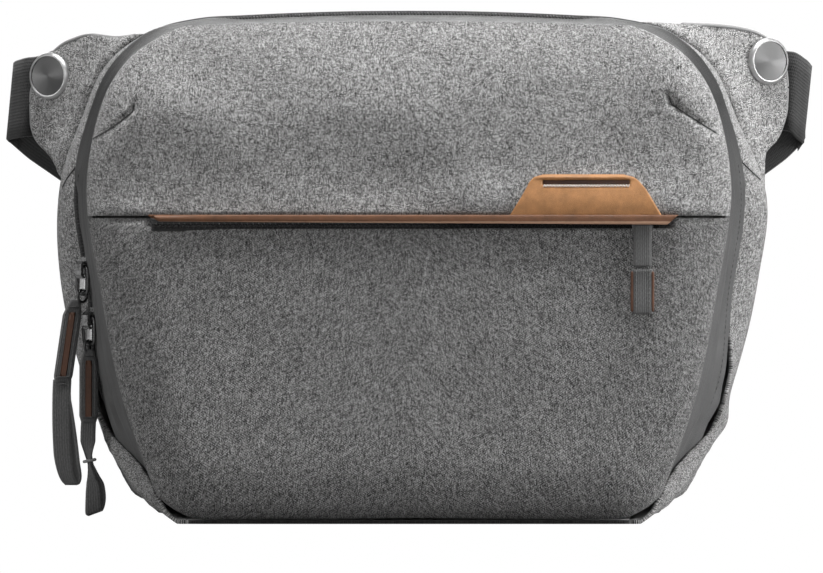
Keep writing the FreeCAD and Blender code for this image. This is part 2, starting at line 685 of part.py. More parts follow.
def strap_leg(side, word):
    """Webbing from beside the wing's end, round a fold, and down behind the bag."""
    half = size("strap_width") / 2
    thick = size("strap_cloth")
    path = [
        (180.3, 57.6, 198), (184.3, 60.4, 197.5), (186.6, 62.6, 197), (187.2, 64.4, 196.5),
        (185.6, 65.6, 195), (176, 65.0, 188), (150, 61.5, 170), (122, 57.2, 149),
        (size("strap_half") + 0.2, size("strap_y"), size("strap_z"))]
    wires = []
    for number, point in enumerate(path):
        before = path[max(number - 1, 0)]
        after = path[min(number + 1, len(path) - 1)]
        run = Vector(after[0] - before[0], after[1] - before[1], 0).normalize()
        across = Vector(-run.y, run.x, 0) * (thick / 2)
        centre = Vector(*point)
        up = Vector(0, 0, half)
        corners = [centre - across - up, centre + across - up,
                   centre + across + up, centre - across + up]
        corners = [Vector(side * corner.x, corner.y, corner.z) for corner in corners]
        wires.append(Part.makePolygon(corners + corners[:1]))
    leg = doc.addObject("Part::Feature", f"{word}_leg")
    leg.Shape = Part.makeLoft(wires, True, True)
    leg.Placement = FreeCAD.Placement()
    keep(leg, f"{word}_strap_leg")


def strap_middle():
    half = "strap_width / 2"
    keep(box("webbing", ("-strap_half", "strap_half"),
             ("strap_y - strap_cloth / 2", "strap_y + strap_cloth / 2"),
             (f"strap_z - {half}", f"strap_z + {half}")), "strap_webbing")

    def ring(front, rear, tall):
        return [(front, f"strap_z - {tall} / 2"), (rear, f"strap_z - {tall} / 2"),
                (rear, f"strap_z + {tall} / 2"), (front, f"strap_z + {tall} / 2")]

    slot = ring("strap_y - slot_deep / 2", "strap_y + slot_deep / 2", "slot_tall")
    padded("pad_body", "YZ_Plane", "pad_start", "pad_stop - pad_start",
           [ring("pad_front", "pad_rear", "pad_tall"), slot], "strap_pad")
    frame = padded("frame_body", "YZ_Plane", "frame_start", "frame_long",
                   [ring("frame_front", "frame_rear", "frame_tall"), slot])
    ears = []
    for side, word in ((-1, "low"), (1, "high")):
        level = f"strap_z + {side} * (frame_tall / 2 - ear_thick / 2) - ear_thick / 2"
        ears.append(padded(f"{word}_ear", "XY_Plane", level, "ear_thick", [
            [("frame_start", "frame_rear - 0.1"), ("frame_start + ear_long", "frame_rear - 0.1"),
             ("frame_start + ear_long - 1", "ear_rear"), ("frame_start + 1", "ear_rear")],
            ("circle", "pin_x", "pin_y", "pin_radius")]))
    keep(fuse("frame_with_ears", frame, *ears), "adjuster_frame")
    pin = doc.addObject("Part::Cylinder", "lever_pin")
    pin.setExpression("Radius", formula("pin_radius"))
    pin.setExpression("Height", formula("frame_tall"))
    keep(place(pin, "pin_x", "pin_y", "strap_z - frame_tall / 2"), "adjuster_pin")
    knuckle = padded("lever_knuckle", "XY_Plane", "strap_z - lever_wide / 2", "lever_wide",
                     [("circle", "pin_x", "pin_y", "knuckle_radius"),
                      ("circle", "pin_x", "pin_y", "pin_bore")])
    blade = padded("lever_blade", "XY_Plane", "strap_z - lever_wide / 2", "lever_wide", [[
        ("pin_x + pin_bore + 0.3", "pin_y - lever_thick / 2"),
        ("pin_x + lever_long", "pin_y - lever_thick / 2"),
        ("pin_x + lever_long", "pin_y + lever_thick / 2"),
        ("pin_x + pin_bore + 0.3", "pin_y + lever_thick / 2")]])
    keep(fuse("lever_fused", knuckle, blade), "adjuster_lever")
    keep(box("lever_tab", ("pin_x + lever_long + 0.02", "pin_x + lever_long + tab_long"),
             ("pin_y - tab_cloth / 2", "pin_y + tab_cloth / 2"),
             ("strap_z - tab_wide / 2", "strap_z + tab_wide / 2")), "adjuster_pull_tab")


# ---- dividers ------------------------------------------------------------------------------

def divider(side, word):
    span = ("divider_x - divider_thick / 2", "divider_x + divider_thick / 2")
    depth = ("divider_front", "divider_rear")
    keep(mirrored_box(f"{word}_divider_wall", side, span, depth,
                      ("divider_low", "divider_top")), f"{word}_divider")
    keep(mirrored_box(f"{word}_flap_wall", side, span, depth,
                      ("divider_top + flap_gap", "divider_top + flap_gap + flap_tall")),
         f"{word}_divider_flap")


front_panels()
gusset()
main_zip()
end_stops()
front_inside()
pocket_zip()
leather()
rear_outer = rear_shell()
for side, word in ((-1, "left"), (1, "right")):
    wing(side, word, rear_outer)
    anchor(side, word)
    strap_leg(side, word)
    divider(side, word)
for word in ("upper", "lower"):
    slider(word)
    pull(word)
pocket_slider()
strap_middle()
doc.recompute()

# ---- check and write ---------------------------------------------------------------------

for item in doc.Objects:
    if "Invalid" in item.State or "Error" in item.State:
        raise SystemExit(f"{item.Name} ({item.Label}): {item.State}")
for item in nodes:
    shape = item.Shape
    if shape.isNull() or not shape.isValid() or not shape.Solids:
        raise SystemExit(f"{item.Label} has no valid solid")

os.makedirs("parts", exist_ok=True)
for item in nodes:
    item.Shape.exportStep(f"parts/{item.Label}.step")
    bounds = item.Shape.BoundBox
    print(f"{item.Label:24s} solids {len(item.Shape.Solids)}  x {bounds.XMin:7.1f} {bounds.XMax:7.1f}"
          f"  y {bounds.YMin:6.1f} {bounds.YMax:6.1f}  z {bounds.ZMin:6.1f} {bounds.ZMax:6.1f}"
          f"  volume {item.Shape.Volume / 1000:8.2f}")
print(len(nodes), "nodes")
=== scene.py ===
import math

import bpy
import numpy as np
from mathutils import Matrix, Vector, noise
from mathutils.bvhtree import BVHTree


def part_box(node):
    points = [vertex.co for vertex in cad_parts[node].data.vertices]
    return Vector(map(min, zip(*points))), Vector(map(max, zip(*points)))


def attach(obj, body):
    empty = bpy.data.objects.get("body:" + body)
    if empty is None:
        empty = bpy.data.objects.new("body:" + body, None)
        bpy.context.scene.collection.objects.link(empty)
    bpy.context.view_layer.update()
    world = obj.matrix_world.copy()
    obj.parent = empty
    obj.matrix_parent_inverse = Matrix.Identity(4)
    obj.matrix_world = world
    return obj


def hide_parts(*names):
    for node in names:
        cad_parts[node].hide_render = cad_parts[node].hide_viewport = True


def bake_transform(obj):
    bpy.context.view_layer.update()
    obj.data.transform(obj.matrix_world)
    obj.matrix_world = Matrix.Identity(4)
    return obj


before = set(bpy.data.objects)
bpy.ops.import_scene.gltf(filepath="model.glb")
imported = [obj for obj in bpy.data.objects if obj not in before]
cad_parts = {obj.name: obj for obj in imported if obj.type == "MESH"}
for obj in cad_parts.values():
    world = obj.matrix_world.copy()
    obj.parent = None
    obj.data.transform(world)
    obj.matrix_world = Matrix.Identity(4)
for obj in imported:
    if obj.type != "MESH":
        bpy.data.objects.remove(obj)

scene = bpy.context.scene
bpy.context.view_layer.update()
MM = 0.001


# ---- lines and surfaces, in millimetres -----------------------------------------

def ramp(value, start, width):
    """Rises from 0 at the start to 1 a width further on; a negative width falls."""
    return np.clip((value - start) / width, 0, 1)


def bell(value, middle, width):
    """1 at the middle, fading over about a width to each side."""
    return np.exp(-((value - middle) / width) ** 2)


def rounded(share):
    """A quarter-round edge, from 0 to 1."""
    return (1 - (1 - share) ** 2) ** 0.5


def eased(count, power=1.7):
    """From -1 to 1, closer together at both ends."""
    t = np.linspace(-1, 1, count)
    return np.sign(t) * (1 - (1 - np.abs(t)) ** power)


def mixed(a, b, share):
    return a * (1 - share) + b * share


def turns(count):
    return np.linspace(0, 2 * math.pi, count, endpoint=False)


def xyz(x, y, z):
    """Points from three coordinates, each an array or one number."""
    return np.stack(np.broadcast_arrays(x, y, z), -1)


def unit(vectors):
    return vectors / np.linalg.norm(vectors, axis=-1)[..., None]


def lengths(path):
    """The distance along a path to each of its points."""
    return np.r_[0, np.cumsum(np.linalg.norm(np.diff(path, axis=0), axis=1))]


def at_lengths(path, want):
    """Points at given distances along a path."""
    run = lengths(path)
    return np.stack([np.interp(want, run, column) for column in path.T], 1)


def smooth_line(points, count):
    """An even run of points on the smooth line through the given ones."""
    p = np.array(points, float)
    p = np.vstack([2 * p[0] - p[1], p, 2 * p[-1] - p[-2]])
    t = np.linspace(0, 1, 16, endpoint=False)[:, None]
    parts = [b + t / 2 * (c - a + t * (2 * a - 5 * b + 4 * c - d + t * (3 * b - a - 3 * c + d)))
             for a, b, c, d in zip(p, p[1:], p[2:], p[3:])]
    fine = np.vstack(parts + [p[-2:-1]])
    return at_lengths(fine, np.linspace(0, lengths(fine)[-1], count))


def outward(line):
    """Unit normals of an XZ line that runs up the right side."""
    run = np.gradient(line, axis=0)
    return unit(np.stack([run[:, 1], -run[:, 0]], 1))


def moved(line, offset):
    """An XZ line pushed outwards by a number, or by a column of numbers."""
    return line + outward(line) * offset


def standing(line, y):
    """An XZ line as points at a depth."""
    return xyz(line[:, 0], y, line[:, 1])


def both_sides(right):
    """A half ring of rows, mirrored and joined: left base, over the top, right base."""
    left = right.copy()
    left[..., 0] *= -1
    return np.concatenate([left, right[::-1][1:]])


# Half widths of each outline: at its base, then at each level.
LEVELS = (18, 60, 106, 152, 190, 212, 225, 230)
HALVES = {
    "front": (104, 118, 132.5, 141.7, 148.3, 142.3, 130.5, 113, 97),
    "zip": (104, 119.5, 143.3, 149.3, 155.3, 147.5, 136.5, 119, 98),
    "rim": (104, 131, 148.5, 153.5, 158.5, 149.5, 138.5, 120.5, 99),
    "side": (108, 132, 149.5, 159.5, 163, 152, 140.5, 122, 100),
    "back": (100, 124, 145, 156, 161, 153, 141, 123, 102),
}
RING = 181


def outline(name, offset=0, base=0, rise=3.5, arch=3.5):
    """The right half of a standing outline, middle of the base to middle of the top."""
    foot, *halves = HALVES[name]
    points = [(0, base), (foot * 0.35, base), (foot * 0.7, base), (foot - 8, base + 0.3),
              (foot + 1, base + 3), ((foot + halves[0]) / 2 + 2, base + 3 + (15 - base) * 0.42)]
    points += [(half, level + rise * max(0, (level - 206) / 24)) for level, half in zip(LEVELS, halves)]
    top = 230 + rise + arch
    points += [(76, top - arch * 0.58), (50, top - arch * 0.25), (25, top - arch * 0.06), (0, top)]
    return moved(smooth_line(points, RING), offset)


FRONT = outline("front", base=2, rise=0, arch=1.2)
ZIP = outline("zip", base=4)
SIDE = outline("side")
BACK = outline("back", rise=0, arch=0)
FLAP = outline("front", 3.4, base=0, rise=0, arch=1)
FLAP[:, 1] = np.maximum(FLAP[:, 1], 0)


def half_at(z, line=FRONT):
    """Half width of an outline at a height."""
    order = np.argsort(line[:, 1])
    return np.interp(z, line[order, 1], line[order, 0])


def inset(x, z, reach):
    """0 at the front outline's side, 1 from a reach further in."""
    return np.clip((half_at(z) - np.abs(x)) / reach, 0, 1)


def panel(low, high, columns, rows, line=FRONT):
    """X, Z and share of the height over an outline, closer together at its edges."""
    share = (eased(rows)[:, None] + 1) / 2
    level = low + share * (high - low)
    x = eased(columns) * half_at(level, line)
    return x, level + 0 * x, share


def segment_distance(x, z, ends):
    (x0, z0), (x1, z1) = ends
    dx, dz = x1 - x0, z1 - z0
    t = np.clip(((x - x0) * dx + (z - z0) * dz) / (dx * dx + dz * dz + 1e-9), 0, 1)
    return np.hypot(x - x0 - t * dx, z - z0 - t * dz)


def near_segment(x, z, ends, reach):
    """Falls from 1 on the segment to 0 away from it, over about the given reach."""
    return bell(segment_distance(x, z, ends), 0, reach)


def border_distance(x, z, line):
    """Distance from each point inside an outline to its side and top edges."""
    best = np.full(x.shape, 1e9)
    for ends in zip(line, line[1:]):
        best = np.minimum(best, segment_distance(np.abs(x), z, ends))
    return best


def bumps(points, scale, seed=0.0):
    """Smooth noise, about -1 to 1, at each point."""
    flat = points.reshape(-1, 3) / scale + seed
    return np.array([noise.noise(Vector(p)) for p in flat]).reshape(points.shape[:-1])


# ---- making objects ----------------------------------------------------------------

def piece(name, vertices, faces, look, body, replaces=(), slot=None, weave=None):
    """A mesh from millimetre points, on its body, standing for the nodes it replaces."""
    mesh = bpy.data.meshes.new(name)
    mesh.from_pydata((np.asarray(vertices, float) * MM).tolist(), [], faces)
    mesh.materials.append(look)
    mesh.polygons.foreach_set("use_smooth", [True] * len(mesh.polygons))
    if weave is not None:
        layer = mesh.attributes.new("weave", "FLOAT_VECTOR", "POINT")
        full = np.zeros((len(vertices), 3), np.float32)
        full[:, :2] = np.asarray(weave).reshape(-1, 2)
        layer.data.foreach_set("vector", full.ravel())
    mesh.update()
    item = bpy.data.objects.new(name, mesh)
    scene.collection.objects.link(item)
    if body:
        join(item, body, replaces)
    return item


def join(item, body, replaces):
    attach(item, body)
    if replaces:
        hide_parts(*replaces)


def grid_faces(rows, columns, wrap=False, start=0, flip=False):
    """Quads over a grid of points, joined round its columns when it wraps."""
    faces = []
    for i in range(rows - 1):
        near, far = start + i * columns, start + (i + 1) * columns
        for j in range(columns if wrap else columns - 1):
            k = (j + 1) % columns
            face = (near + j, near + k, far + k, far + j)
            faces.append(face[::-1] if flip else face)
    return faces


def bar_faces(rows, columns, start=0, flip=False):
    """The faces of a closed bar whose rows are rings of points."""
    last = start + (rows - 1) * columns
    ends = (tuple(range(start, start + columns))[::-1], tuple(range(last, last + columns)))
    return grid_faces(rows, columns, True, start, flip) + [end[::-1] if flip else end for end in ends]


def cloth_map(points):
    """Distances along and across a grid, from its middle, for the weave to follow."""
    along = np.linalg.norm(np.diff(points, axis=0), axis=2)
    across = np.linalg.norm(np.diff(points, axis=1), axis=2)
    v = np.vstack([np.zeros(points.shape[1]), np.cumsum(along, 0)])
    u = np.hstack([np.zeros((points.shape[0], 1)), np.cumsum(across, 1)])
    return np.stack([u - u[:, points.shape[1] // 2][:, None], v], 2)


def sheet_piece(name, points, look, body, replaces=(), slot=None, weave=None, thick=0,
                flip=False, inside=None):
    """A grid of points (rows, columns, 3) as a smooth sheet, thickened inwards."""
    weave = cloth_map(points) if weave is None else weave
    item = piece(name, points.reshape(-1, 3), grid_faces(*points.shape[:2], flip=flip), look,
                 body, replaces, slot, weave)
    if thick:
        solid = item.modifiers.new("thickness", "SOLIDIFY")
        solid.thickness = thick * MM
        solid.offset = -1
        if inside:
            item.data.materials.append(inside)
            solid.material_offset = 1
    return item


def hoops(path, sizes, side, up, sides, flat):
    """Rings of points round the points of a path."""
    a = turns(sides)[:, None]
    ring = np.cos(a) * side[:, None] + flat * np.sin(a) * up[:, None]
    return (path[:, None] + np.reshape(sizes, (-1, 1, 1)) * ring).reshape(-1, 3)


def tube_parts(paths, radius, sides=8, flat=1.0):
    """Vertices and faces of closed round-ended threads along short paths."""
    vertices, faces = [], []
    for path in paths:
        path = np.asarray(path, float)
        run = unit(np.gradient(path, axis=0))
        side = unit(np.cross(run, [0, 0, 1] if abs(run[0][2]) < 0.8 else [0, 1, 0]))
        sizes = np.full(len(path), radius)
        sizes[[0, -1]] *= 0.45
        faces += bar_faces(len(path), sides, len(vertices))
        vertices += list(hoops(path, sizes, side, np.cross(side, run), sides, flat))
    return vertices, faces


def tube(name, path, radius, look, body, replaces=(), slot=None, closed=False, sides=10,
         flat=1.0):
    """One rod or wire along a path; a closed path makes a ring."""
    if not closed:
        vertices, faces = tube_parts([path], radius, sides, flat)
        return piece(name, vertices, faces, look, body, replaces, slot)
    count, middle = len(path), path.mean(0)
    plane = unit(np.cross(path[0] - middle, path[count // 4] - middle))
    side = np.cross(unit(np.roll(path, -1, 0) - np.roll(path, 1, 0)), plane)
    faces = []
    for i in range(count):
        near, far = i * sides, (i + 1) % count * sides
        for j in range(sides):
            k = (j + 1) % sides
            faces.append((near + j, far + j, far + k, near + k))
    return piece(name, hoops(path, radius, side, plane[None], sides, flat), faces, look, body,
                 replaces, slot)


def stitches(name, path, look, body, pitch=3.4, share=0.68, radius=0.3):
    """A row of sewn thread lying on a line of points."""
    path = np.asarray(path, float)
    starts = np.arange(pitch * 0.3, lengths(path)[-1] - pitch, pitch)
    paths = [at_lengths(path, start + np.linspace(0, share * pitch, 4)) for start in starts]
    return piece(name, *tube_parts(paths, radius, 6, 0.8), look, body)


def laid_on(items, line, lift=0.1):
    """Points of the items' front surface behind each (x, z) of a line."""
    trees = [BVHTree.FromPolygons([item.matrix_world @ v.co for v in item.data.vertices],
                                  [tuple(face.vertices) for face in item.data.polygons])
             for item in items]
    points = []
    for x, z in line:
        hits = [tree.ray_cast(Vector((x * MM, -0.2, z * MM)), Vector((0, 1, 0)), 0.3)[0]
                for tree in trees]
        depths = [hit.y / MM for hit in hits if hit]
        if depths:
            points.append((x, min(depths) - lift, z))
    return points


def ribbon(name, path, widths, thick, look, body, replaces=(), slot=None):
    """Webbing along a path; widths is one vector across it, or one for each point."""
    path = np.asarray(path, float)
    widths = np.broadcast_to(np.asarray(widths, float), path.shape)
    face = unit(np.cross(np.gradient(path, axis=0), widths))
    half = thick / 2
    wide = np.linalg.norm(widths, axis=1).mean() / 2
    edge = min(0.45, half / wide)
    across = np.array([-1, -1 + edge, -0.6, -0.2, 0.2, 0.6, 1 - edge, 1,
                       1 - edge, 0.6, 0.2, -0.2, -0.6, -1 + edge])
    lift = np.array([0, 1, 1, 1, 1, 1, 1, 0, -1, -1, -1, -1, -1, -1]) * half
    points = path[:, None] + widths[:, None] / 2 * across[:, None] + face[:, None] * lift[:, None]
    weave = np.stack(np.broadcast_arrays(across * wide, lengths(path)[:, None]), 2)
    return piece(name, points.reshape(-1, 3), bar_faces(*points.shape[:2]), look, body, replaces,
                 slot, weave)


def soft_block(name, low, high, look, body, replaces, slot, crown, edge, cells, pull):
    """A sewn pad: rounded edges, crowned faces, sides drawn in between its corners."""
    low, high = np.array(low, float), np.array(high, float)
    size, middle = high - low, (high + low) / 2
    thin = int(np.argmin(size))
    wide = [axis for axis in range(3) if axis != thin]
    vertices, index, faces = [], {}, []

    def corner(where):
        if where not in index:
            p = np.array(where) / cells * 2 - 1
            inner = np.clip(p * size / 2, -(size / 2 - edge), size / 2 - edge)
            out = p * size / 2 - inner
            reach = np.linalg.norm(out)
            if reach > 0:
                out *= min(edge, reach) / reach
            q = inner + out
            if abs(p[thin]) > 0.99:
                swell = np.prod([1 - p[axis] ** 2 for axis in wide])
                q[thin] += np.sign(p[thin]) * crown * (swell ** 0.5 - 1)
            for axis, other in (wide, wide[::-1]):
                q[axis] -= p[axis] * pull * (1 - p[other] ** 2)
            index[where] = len(vertices)
            vertices.append(q + middle)
        return index[where]

    for axis in range(3):
        a, b = [n for n in range(3) if n != axis]
        for end in (0, cells[axis]):
            for i in range(cells[a]):
                for j in range(cells[b]):
                    quad = []
                    for di, dj in ((0, 0), (1, 0), (1, 1), (0, 1)):
                        where = [0, 0, 0]
                        where[axis], where[a], where[b] = end, i + di, j + dj
                        quad.append(corner(tuple(where)))
                    faces.append(quad if (end > 0) == (axis != 1) else quad[::-1])
    item = piece(name, vertices, faces, look, body, replaces, slot)
    subdivide = item.modifiers.new("round", "SUBSURF")
    subdivide.levels = subdivide.render_levels = 1
    return item


def lathe(name, profile, centre, turn, look, body, replaces=(), sides=72):
    """A profile of (radius, height) turned about its own Z, then set in place."""
    a = turns(sides)
    rings = [xyz(radius * np.cos(a), radius * np.sin(a), height) for radius, height in profile]
    item = piece(name, np.vstack(rings), bar_faces(len(profile), sides), look, None)
    item.matrix_world = Matrix.Translation(Vector(centre) * MM) @ turn.to_4x4()
    join(item, body, replaces)
    keep_edges_crisp(item)


def keep_edges_crisp(item, angle=35):
    """Marks edges sharper than the angle as sharp on a smooth mesh."""
    mesh = item.data
    sharp = mesh.attributes.new("sharp_edge", "BOOLEAN", "EDGE")
    normals = {}
    for face in mesh.polygons:
        for key in face.edge_keys:
            normals.setdefault(key, []).append(face.normal.copy())
    for edge in mesh.edges:
        pair = normals[edge.key]
        if len(pair) == 2 and pair[0].angle(pair[1], 0) > math.radians(angle):
            sharp.data[edge.index].value = True


# ---- materials ------------------------------------------------------------------------

class Wire:
    """A node's output, which adds and multiplies through the shader's math nodes."""

    def __init__(self, look, socket):
        self.look, self.socket = look, socket

    def __add__(self, other):
        return self.look.math("ADD", self, other)

    def __sub__(self, other):
        return self.look.math("SUBTRACT", self, other)

    def __rsub__(self, other):
        return self.look.math("SUBTRACT", other, self)

    def __mul__(self, other):
        return self.look.math("MULTIPLY", self, other)

    def __truediv__(self, other):
        return self.look.math("DIVIDE", self, other)


class Look:
    """A material, with short ways to wire its nodes. Lengths in its nodes are millimetres."""

    def __init__(self, name, **sockets):
        self.material = bpy.data.materials.new(name)
        self.material.use_nodes = True
        self.tree = self.material.node_tree
        self.shader = self.tree.nodes["Principled BSDF"]
        for socket, value in sockets.items():
            self.put(self.shader.inputs[socket.replace("_", " ")], value)

    def put(self, socket, value):
        if isinstance(value, Wire):
            self.tree.links.new(value.socket, socket)
        else:
            socket.default_value = value

    def node(self, kind, settings=None, out=0, **inputs):
        """A new node's output; an input goes by its name, or by i and its number."""
        node = self.tree.nodes.new("ShaderNode" + kind)
        for key, value in (settings or {}).items():
            setattr(node, key, value)
        for key, value in inputs.items():
            self.put(node.inputs[int(key[1:]) if key[1:].isdigit() else key], value)
        return Wire(self, node.outputs[out])

    def math(self, operation, a, b=0.0):
        return self.node("Math", {"operation": operation}, i0=a, i1=b, i2=0.0)

    def scaled(self, vector, x, y, z):
        return self.node("VectorMath", {"operation": "MULTIPLY"}, i0=vector, i1=(x, y, z))

    def weave(self):
        return self.node("Attribute", {"attribute_name": "weave"}, "Vector")

    def place(self):
        return self.scaled(self.node("TexCoord", out="Object"), 1000, 1000, 1000)

    def split(self, vector):
        first = self.node("SeparateXYZ", i0=vector)
        return [Wire(self, socket) for socket in first.socket.node.outputs]

    def join(self, x, y, z=0.0):
        return self.node("CombineXYZ", i0=x, i1=y, i2=z)

    def noise(self, vector, size, detail=2.0, rough=0.5):
        return self.node("TexNoise", None, "Fac", Vector=vector, Scale=1 / size, Detail=detail,
                         Roughness=rough)

    def spread(self, value, low, high, to_low=0.0, to_high=1.0):
        return self.node("MapRange", i0=value, i1=low, i2=high, i3=to_low, i4=to_high)

    def mix(self, share, a, b):
        return self.node("Mix", {"data_type": "RGBA"}, 2, i0=share, i6=a, i7=b)

    def shade(self, colour, amount):
        """The colour times a grey amount."""
        return self.node("Mix", {"data_type": "RGBA", "blend_type": "MULTIPLY"}, 2, i0=1.0,
                         i6=colour, i7=self.join(amount, amount, amount))

    def colour(self, value):
        self.put(self.shader.inputs["Base Color"], value)

    def rough(self, value):
        self.put(self.shader.inputs["Roughness"], value)

    def bump(self, height, depth, strength, under=None):
        """Relief whose height, 0 to 1, stands for a depth in millimetres."""
        below = {"Normal": under} if under else {}
        relief = self.node("Bump", Height=height, Strength=strength, Distance=depth * MM, **below)
        self.put(self.shader.inputs["Normal"], relief)
        return relief


def grey(value, warm=0.0):
    return (value * (1 + warm), value, value * (1 - warm), 1)


def heather(name, dark, light, wide=0.40, tall=0.50, streak=3.4):
    """Plain-woven two-tone yarn: each yarn has its own light and dark stretches."""
    look = Look(name, Roughness=0.9, Specular_IOR_Level=0.15, Sheen_Weight=0.12,
                Sheen_Roughness=0.5)
    at = look.weave()
    x, y, z = look.split(at)
    drift = look.noise(at, 60.0) * 1.2
    columns, rows = (x + drift) / wide, (y - drift) / tall
    column, row = look.math("FLOOR", columns), look.math("FLOOR", rows)
    warp = look.noise(look.join(column * 3.71, y / streak), 1.0, 3, 0.7)
    weft = look.noise(look.join(x / streak, row * 3.37, 9.0), 1.0, 3, 0.7)
    fleck = look.node("TexWhiteNoise", {"noise_dimensions": "2D"}, "Value",
                      Vector=look.join(column, row))
    wave_x, wave_y = look.math("SINE", columns * math.pi), look.math("SINE", rows * math.pi)
    over = look.spread(wave_x * wave_y, -0.15, 0.15)
    under = 1.0 - over
    yarn = (look.spread(warp, 0.36, 0.64, 0.30, 1.0) * over
            + look.spread(weft, 0.36, 0.64, 0.0, 0.70) * under)
    slub = look.noise(look.scaled(at, 1, 0.35, 1), 4.0, 2)
    tone = look.spread(yarn * 0.54 + fleck * 0.38 + slub * 0.08, 0.18, 0.84)
    tone = look.math("POWER", tone, 1.5)
    patch = look.spread(look.noise(look.place(), 45.0, 2), 0.3, 0.7, 0.97, 1.03)
    look.colour(look.shade(look.mix(tone, grey(dark, 0.012), grey(light, 0.006)), patch))
    relief = look.math("ABSOLUTE", wave_x) * over + look.math("ABSOLUTE", wave_y) * under
    soft = look.bump(look.noise(look.place(), 14.0, 3, 0.6), 0.5, 0.5)
    look.bump(relief + yarn * 0.6, 0.09, 0.8, soft)
    return look.material


def coated(name, value, rough=0.5, painted_crease_shade=False):
    """Tight, lightly coated cloth: fine twill, faint creases and scuffs, and, where asked, painted
    shade over the top.
    """
    look = Look(name, Specular_IOR_Level=0.12 if painted_crease_shade else 0.35,
                Sheen_Weight=0.03 if painted_crease_shade else 0.15, Sheen_Roughness=0.6)
    at = look.weave()
    x, y, z = look.split(at)
    twill = look.math("SINE", (x + y) * (2 * math.pi / 0.6))
    cloud = look.noise(look.place(), 12.0, 4, 0.6)
    tone = look.spread(cloud, 0.3, 0.7, 0.86, 1.16)
    if painted_crease_shade:
        # Painted shade: the colour is darker in the crease beside the front panel, over the top of the
        # bag.
        x, y, z = look.split(look.place())
        crease = look.spread(y, -50.0, -12.0, 0.94, 0.67)
        tone = tone * (1.0 - crease * look.spread(z, 130.0, 195.0))
    look.colour(look.shade(grey(value), tone))
    look.rough(look.spread(cloud, 0.3, 0.7, rough - 0.06, rough + 0.08))
    soft = look.bump(look.noise(look.scaled(at, 1, 0.3, 1), 6.0, 3), 0.6, 0.6)
    look.bump(look.spread(twill, -1.0, 1.0), 0.04, 0.6, soft)
    return look.material


def webbing(name, value, pitch=1.5):
    """Ribbed webbing: herringbone ribs across the run, closer yarn along it."""
    look = Look(name, Roughness=0.72, Specular_IOR_Level=0.3, Sheen_Weight=0.2,
                Sheen_Roughness=0.5)
    at = look.weave()
    x, y, z = look.split(at)
    zigzag = look.math("ABSOLUTE", look.math("FRACT", x / (pitch * 2)) - 0.5)
    phase = y / (pitch * 0.55) + zigzag * 1.6
    ribs = look.math("ABSOLUTE", look.math("SINE", phase * math.pi))
    cords = look.math("ABSOLUTE", look.math("SINE", x / (pitch / math.pi)))
    relief = ribs * 0.5 + cords * 0.5
    fleck = look.noise(look.scaled(at, 2.0, 0.7, 1), 0.8, 2)
    # Painted shade: the colour follows the ribs' relief, darker in the grooves and lighter on the
    # crests.
    look.colour(look.shade(grey(value), look.spread(relief, 0.1, 1.0, 0.45, 1.15)
                           * look.spread(fleck, 0.35, 0.65, 0.8, 1.25)))
    look.bump(relief, 0.22, 0.9)
    return look.material


def leather(name, colour, rough=0.5, edge=None, low=0.0):
    """Vegetable-tanned hide: pores, creases, mottling, and any painted highlight, a paler colour below
    the height low.
    """
    look = Look(name, Specular_IOR_Level=0.4, Coat_Weight=0.08, Coat_Roughness=0.4)
    at = look.place()
    mottle = look.noise(at, 7.0, 4, 0.65)
    grain = look.node("TexVoronoi", {"feature": "DISTANCE_TO_EDGE"}, "Distance", Vector=at, Scale=1.6)
    creases = look.spread(grain, 0.0, 0.16)
    face = look.shade(colour, look.spread(mottle, 0.28, 0.72, 0.74, 1.24))
    if edge:
        # Painted highlight: a paler colour along the lower edge, below the height low.
        wobble = look.split(at)[2] + look.noise(at, 3.0) * 0.35
        face = look.mix(look.spread(wobble, low, low + 0.5, 1.0, 0.0), face, edge)
    # Painted shade: the grain's creases are coloured slightly darker, in the same grooves as the bump.
    look.colour(look.shade(face, look.spread(creases, 0.0, 1.0, 0.88, 1.0)))
    look.rough(look.spread(mottle, 0.3, 0.7, rough - 0.08, rough + 0.1))
    look.bump(creases, 0.07, 0.7, look.bump(look.noise(at, 0.5, 3, 0.6), 0.06, 0.6))
    return look.material


def metal(name, value, rough, spun=False):
    """Bare or blackened metal with brushed or turned marks and dulled patches."""
    look = Look(name, Metallic=1.0, Anisotropic=0.85 if spun else 0.0)
    at = look.place()
    if spun:
        x, y, z = look.split(at)
        marks = look.noise(look.join(look.math("SQRT", x * x + y * y) * 9.0, 0.0), 1.0, 3)
        look.put(look.shader.inputs["Tangent"],
                 look.node("Tangent", {"direction_type": "RADIAL", "axis": "Z"}))
    else:
        marks = look.noise(look.scaled(at, 1, 1, 6), 0.9, 3)
    wear = look.noise(at, 2.4, 4, 0.6)
    worn = 0.2 if spun else 1.0
    look.colour(look.shade(grey(value), look.spread(wear, 0.3, 0.7, 1 - 0.15 * worn, 1 + 0.15 * worn)))
    look.rough(look.spread(wear, 0.3, 0.7, rough - 0.05 * worn, rough + 0.1 * worn))
    look.bump(marks, 0.03, 0.35)
    return look.material


def knit(name, value, cell=1.9):
    """Open spacer mesh over foam: a net of small holes."""
    look = Look(name, Roughness=0.9, Specular_IOR_Level=0.2, Sheen_Weight=0.3)
    x, y, z = look.split(look.weave())
    wave = 2 * math.pi / cell
    net = look.spread(look.math("SINE", (x + y) * wave) * look.math("SINE", (x - y) * wave), -0.1, 0.5)
    # Painted shade: the holes are coloured much darker than the strands around them.
    look.colour(look.mix(net, grey(value * 1.25), grey(value * 0.3)))
    look.bump(net, -0.4, 0.9)
    return look.material


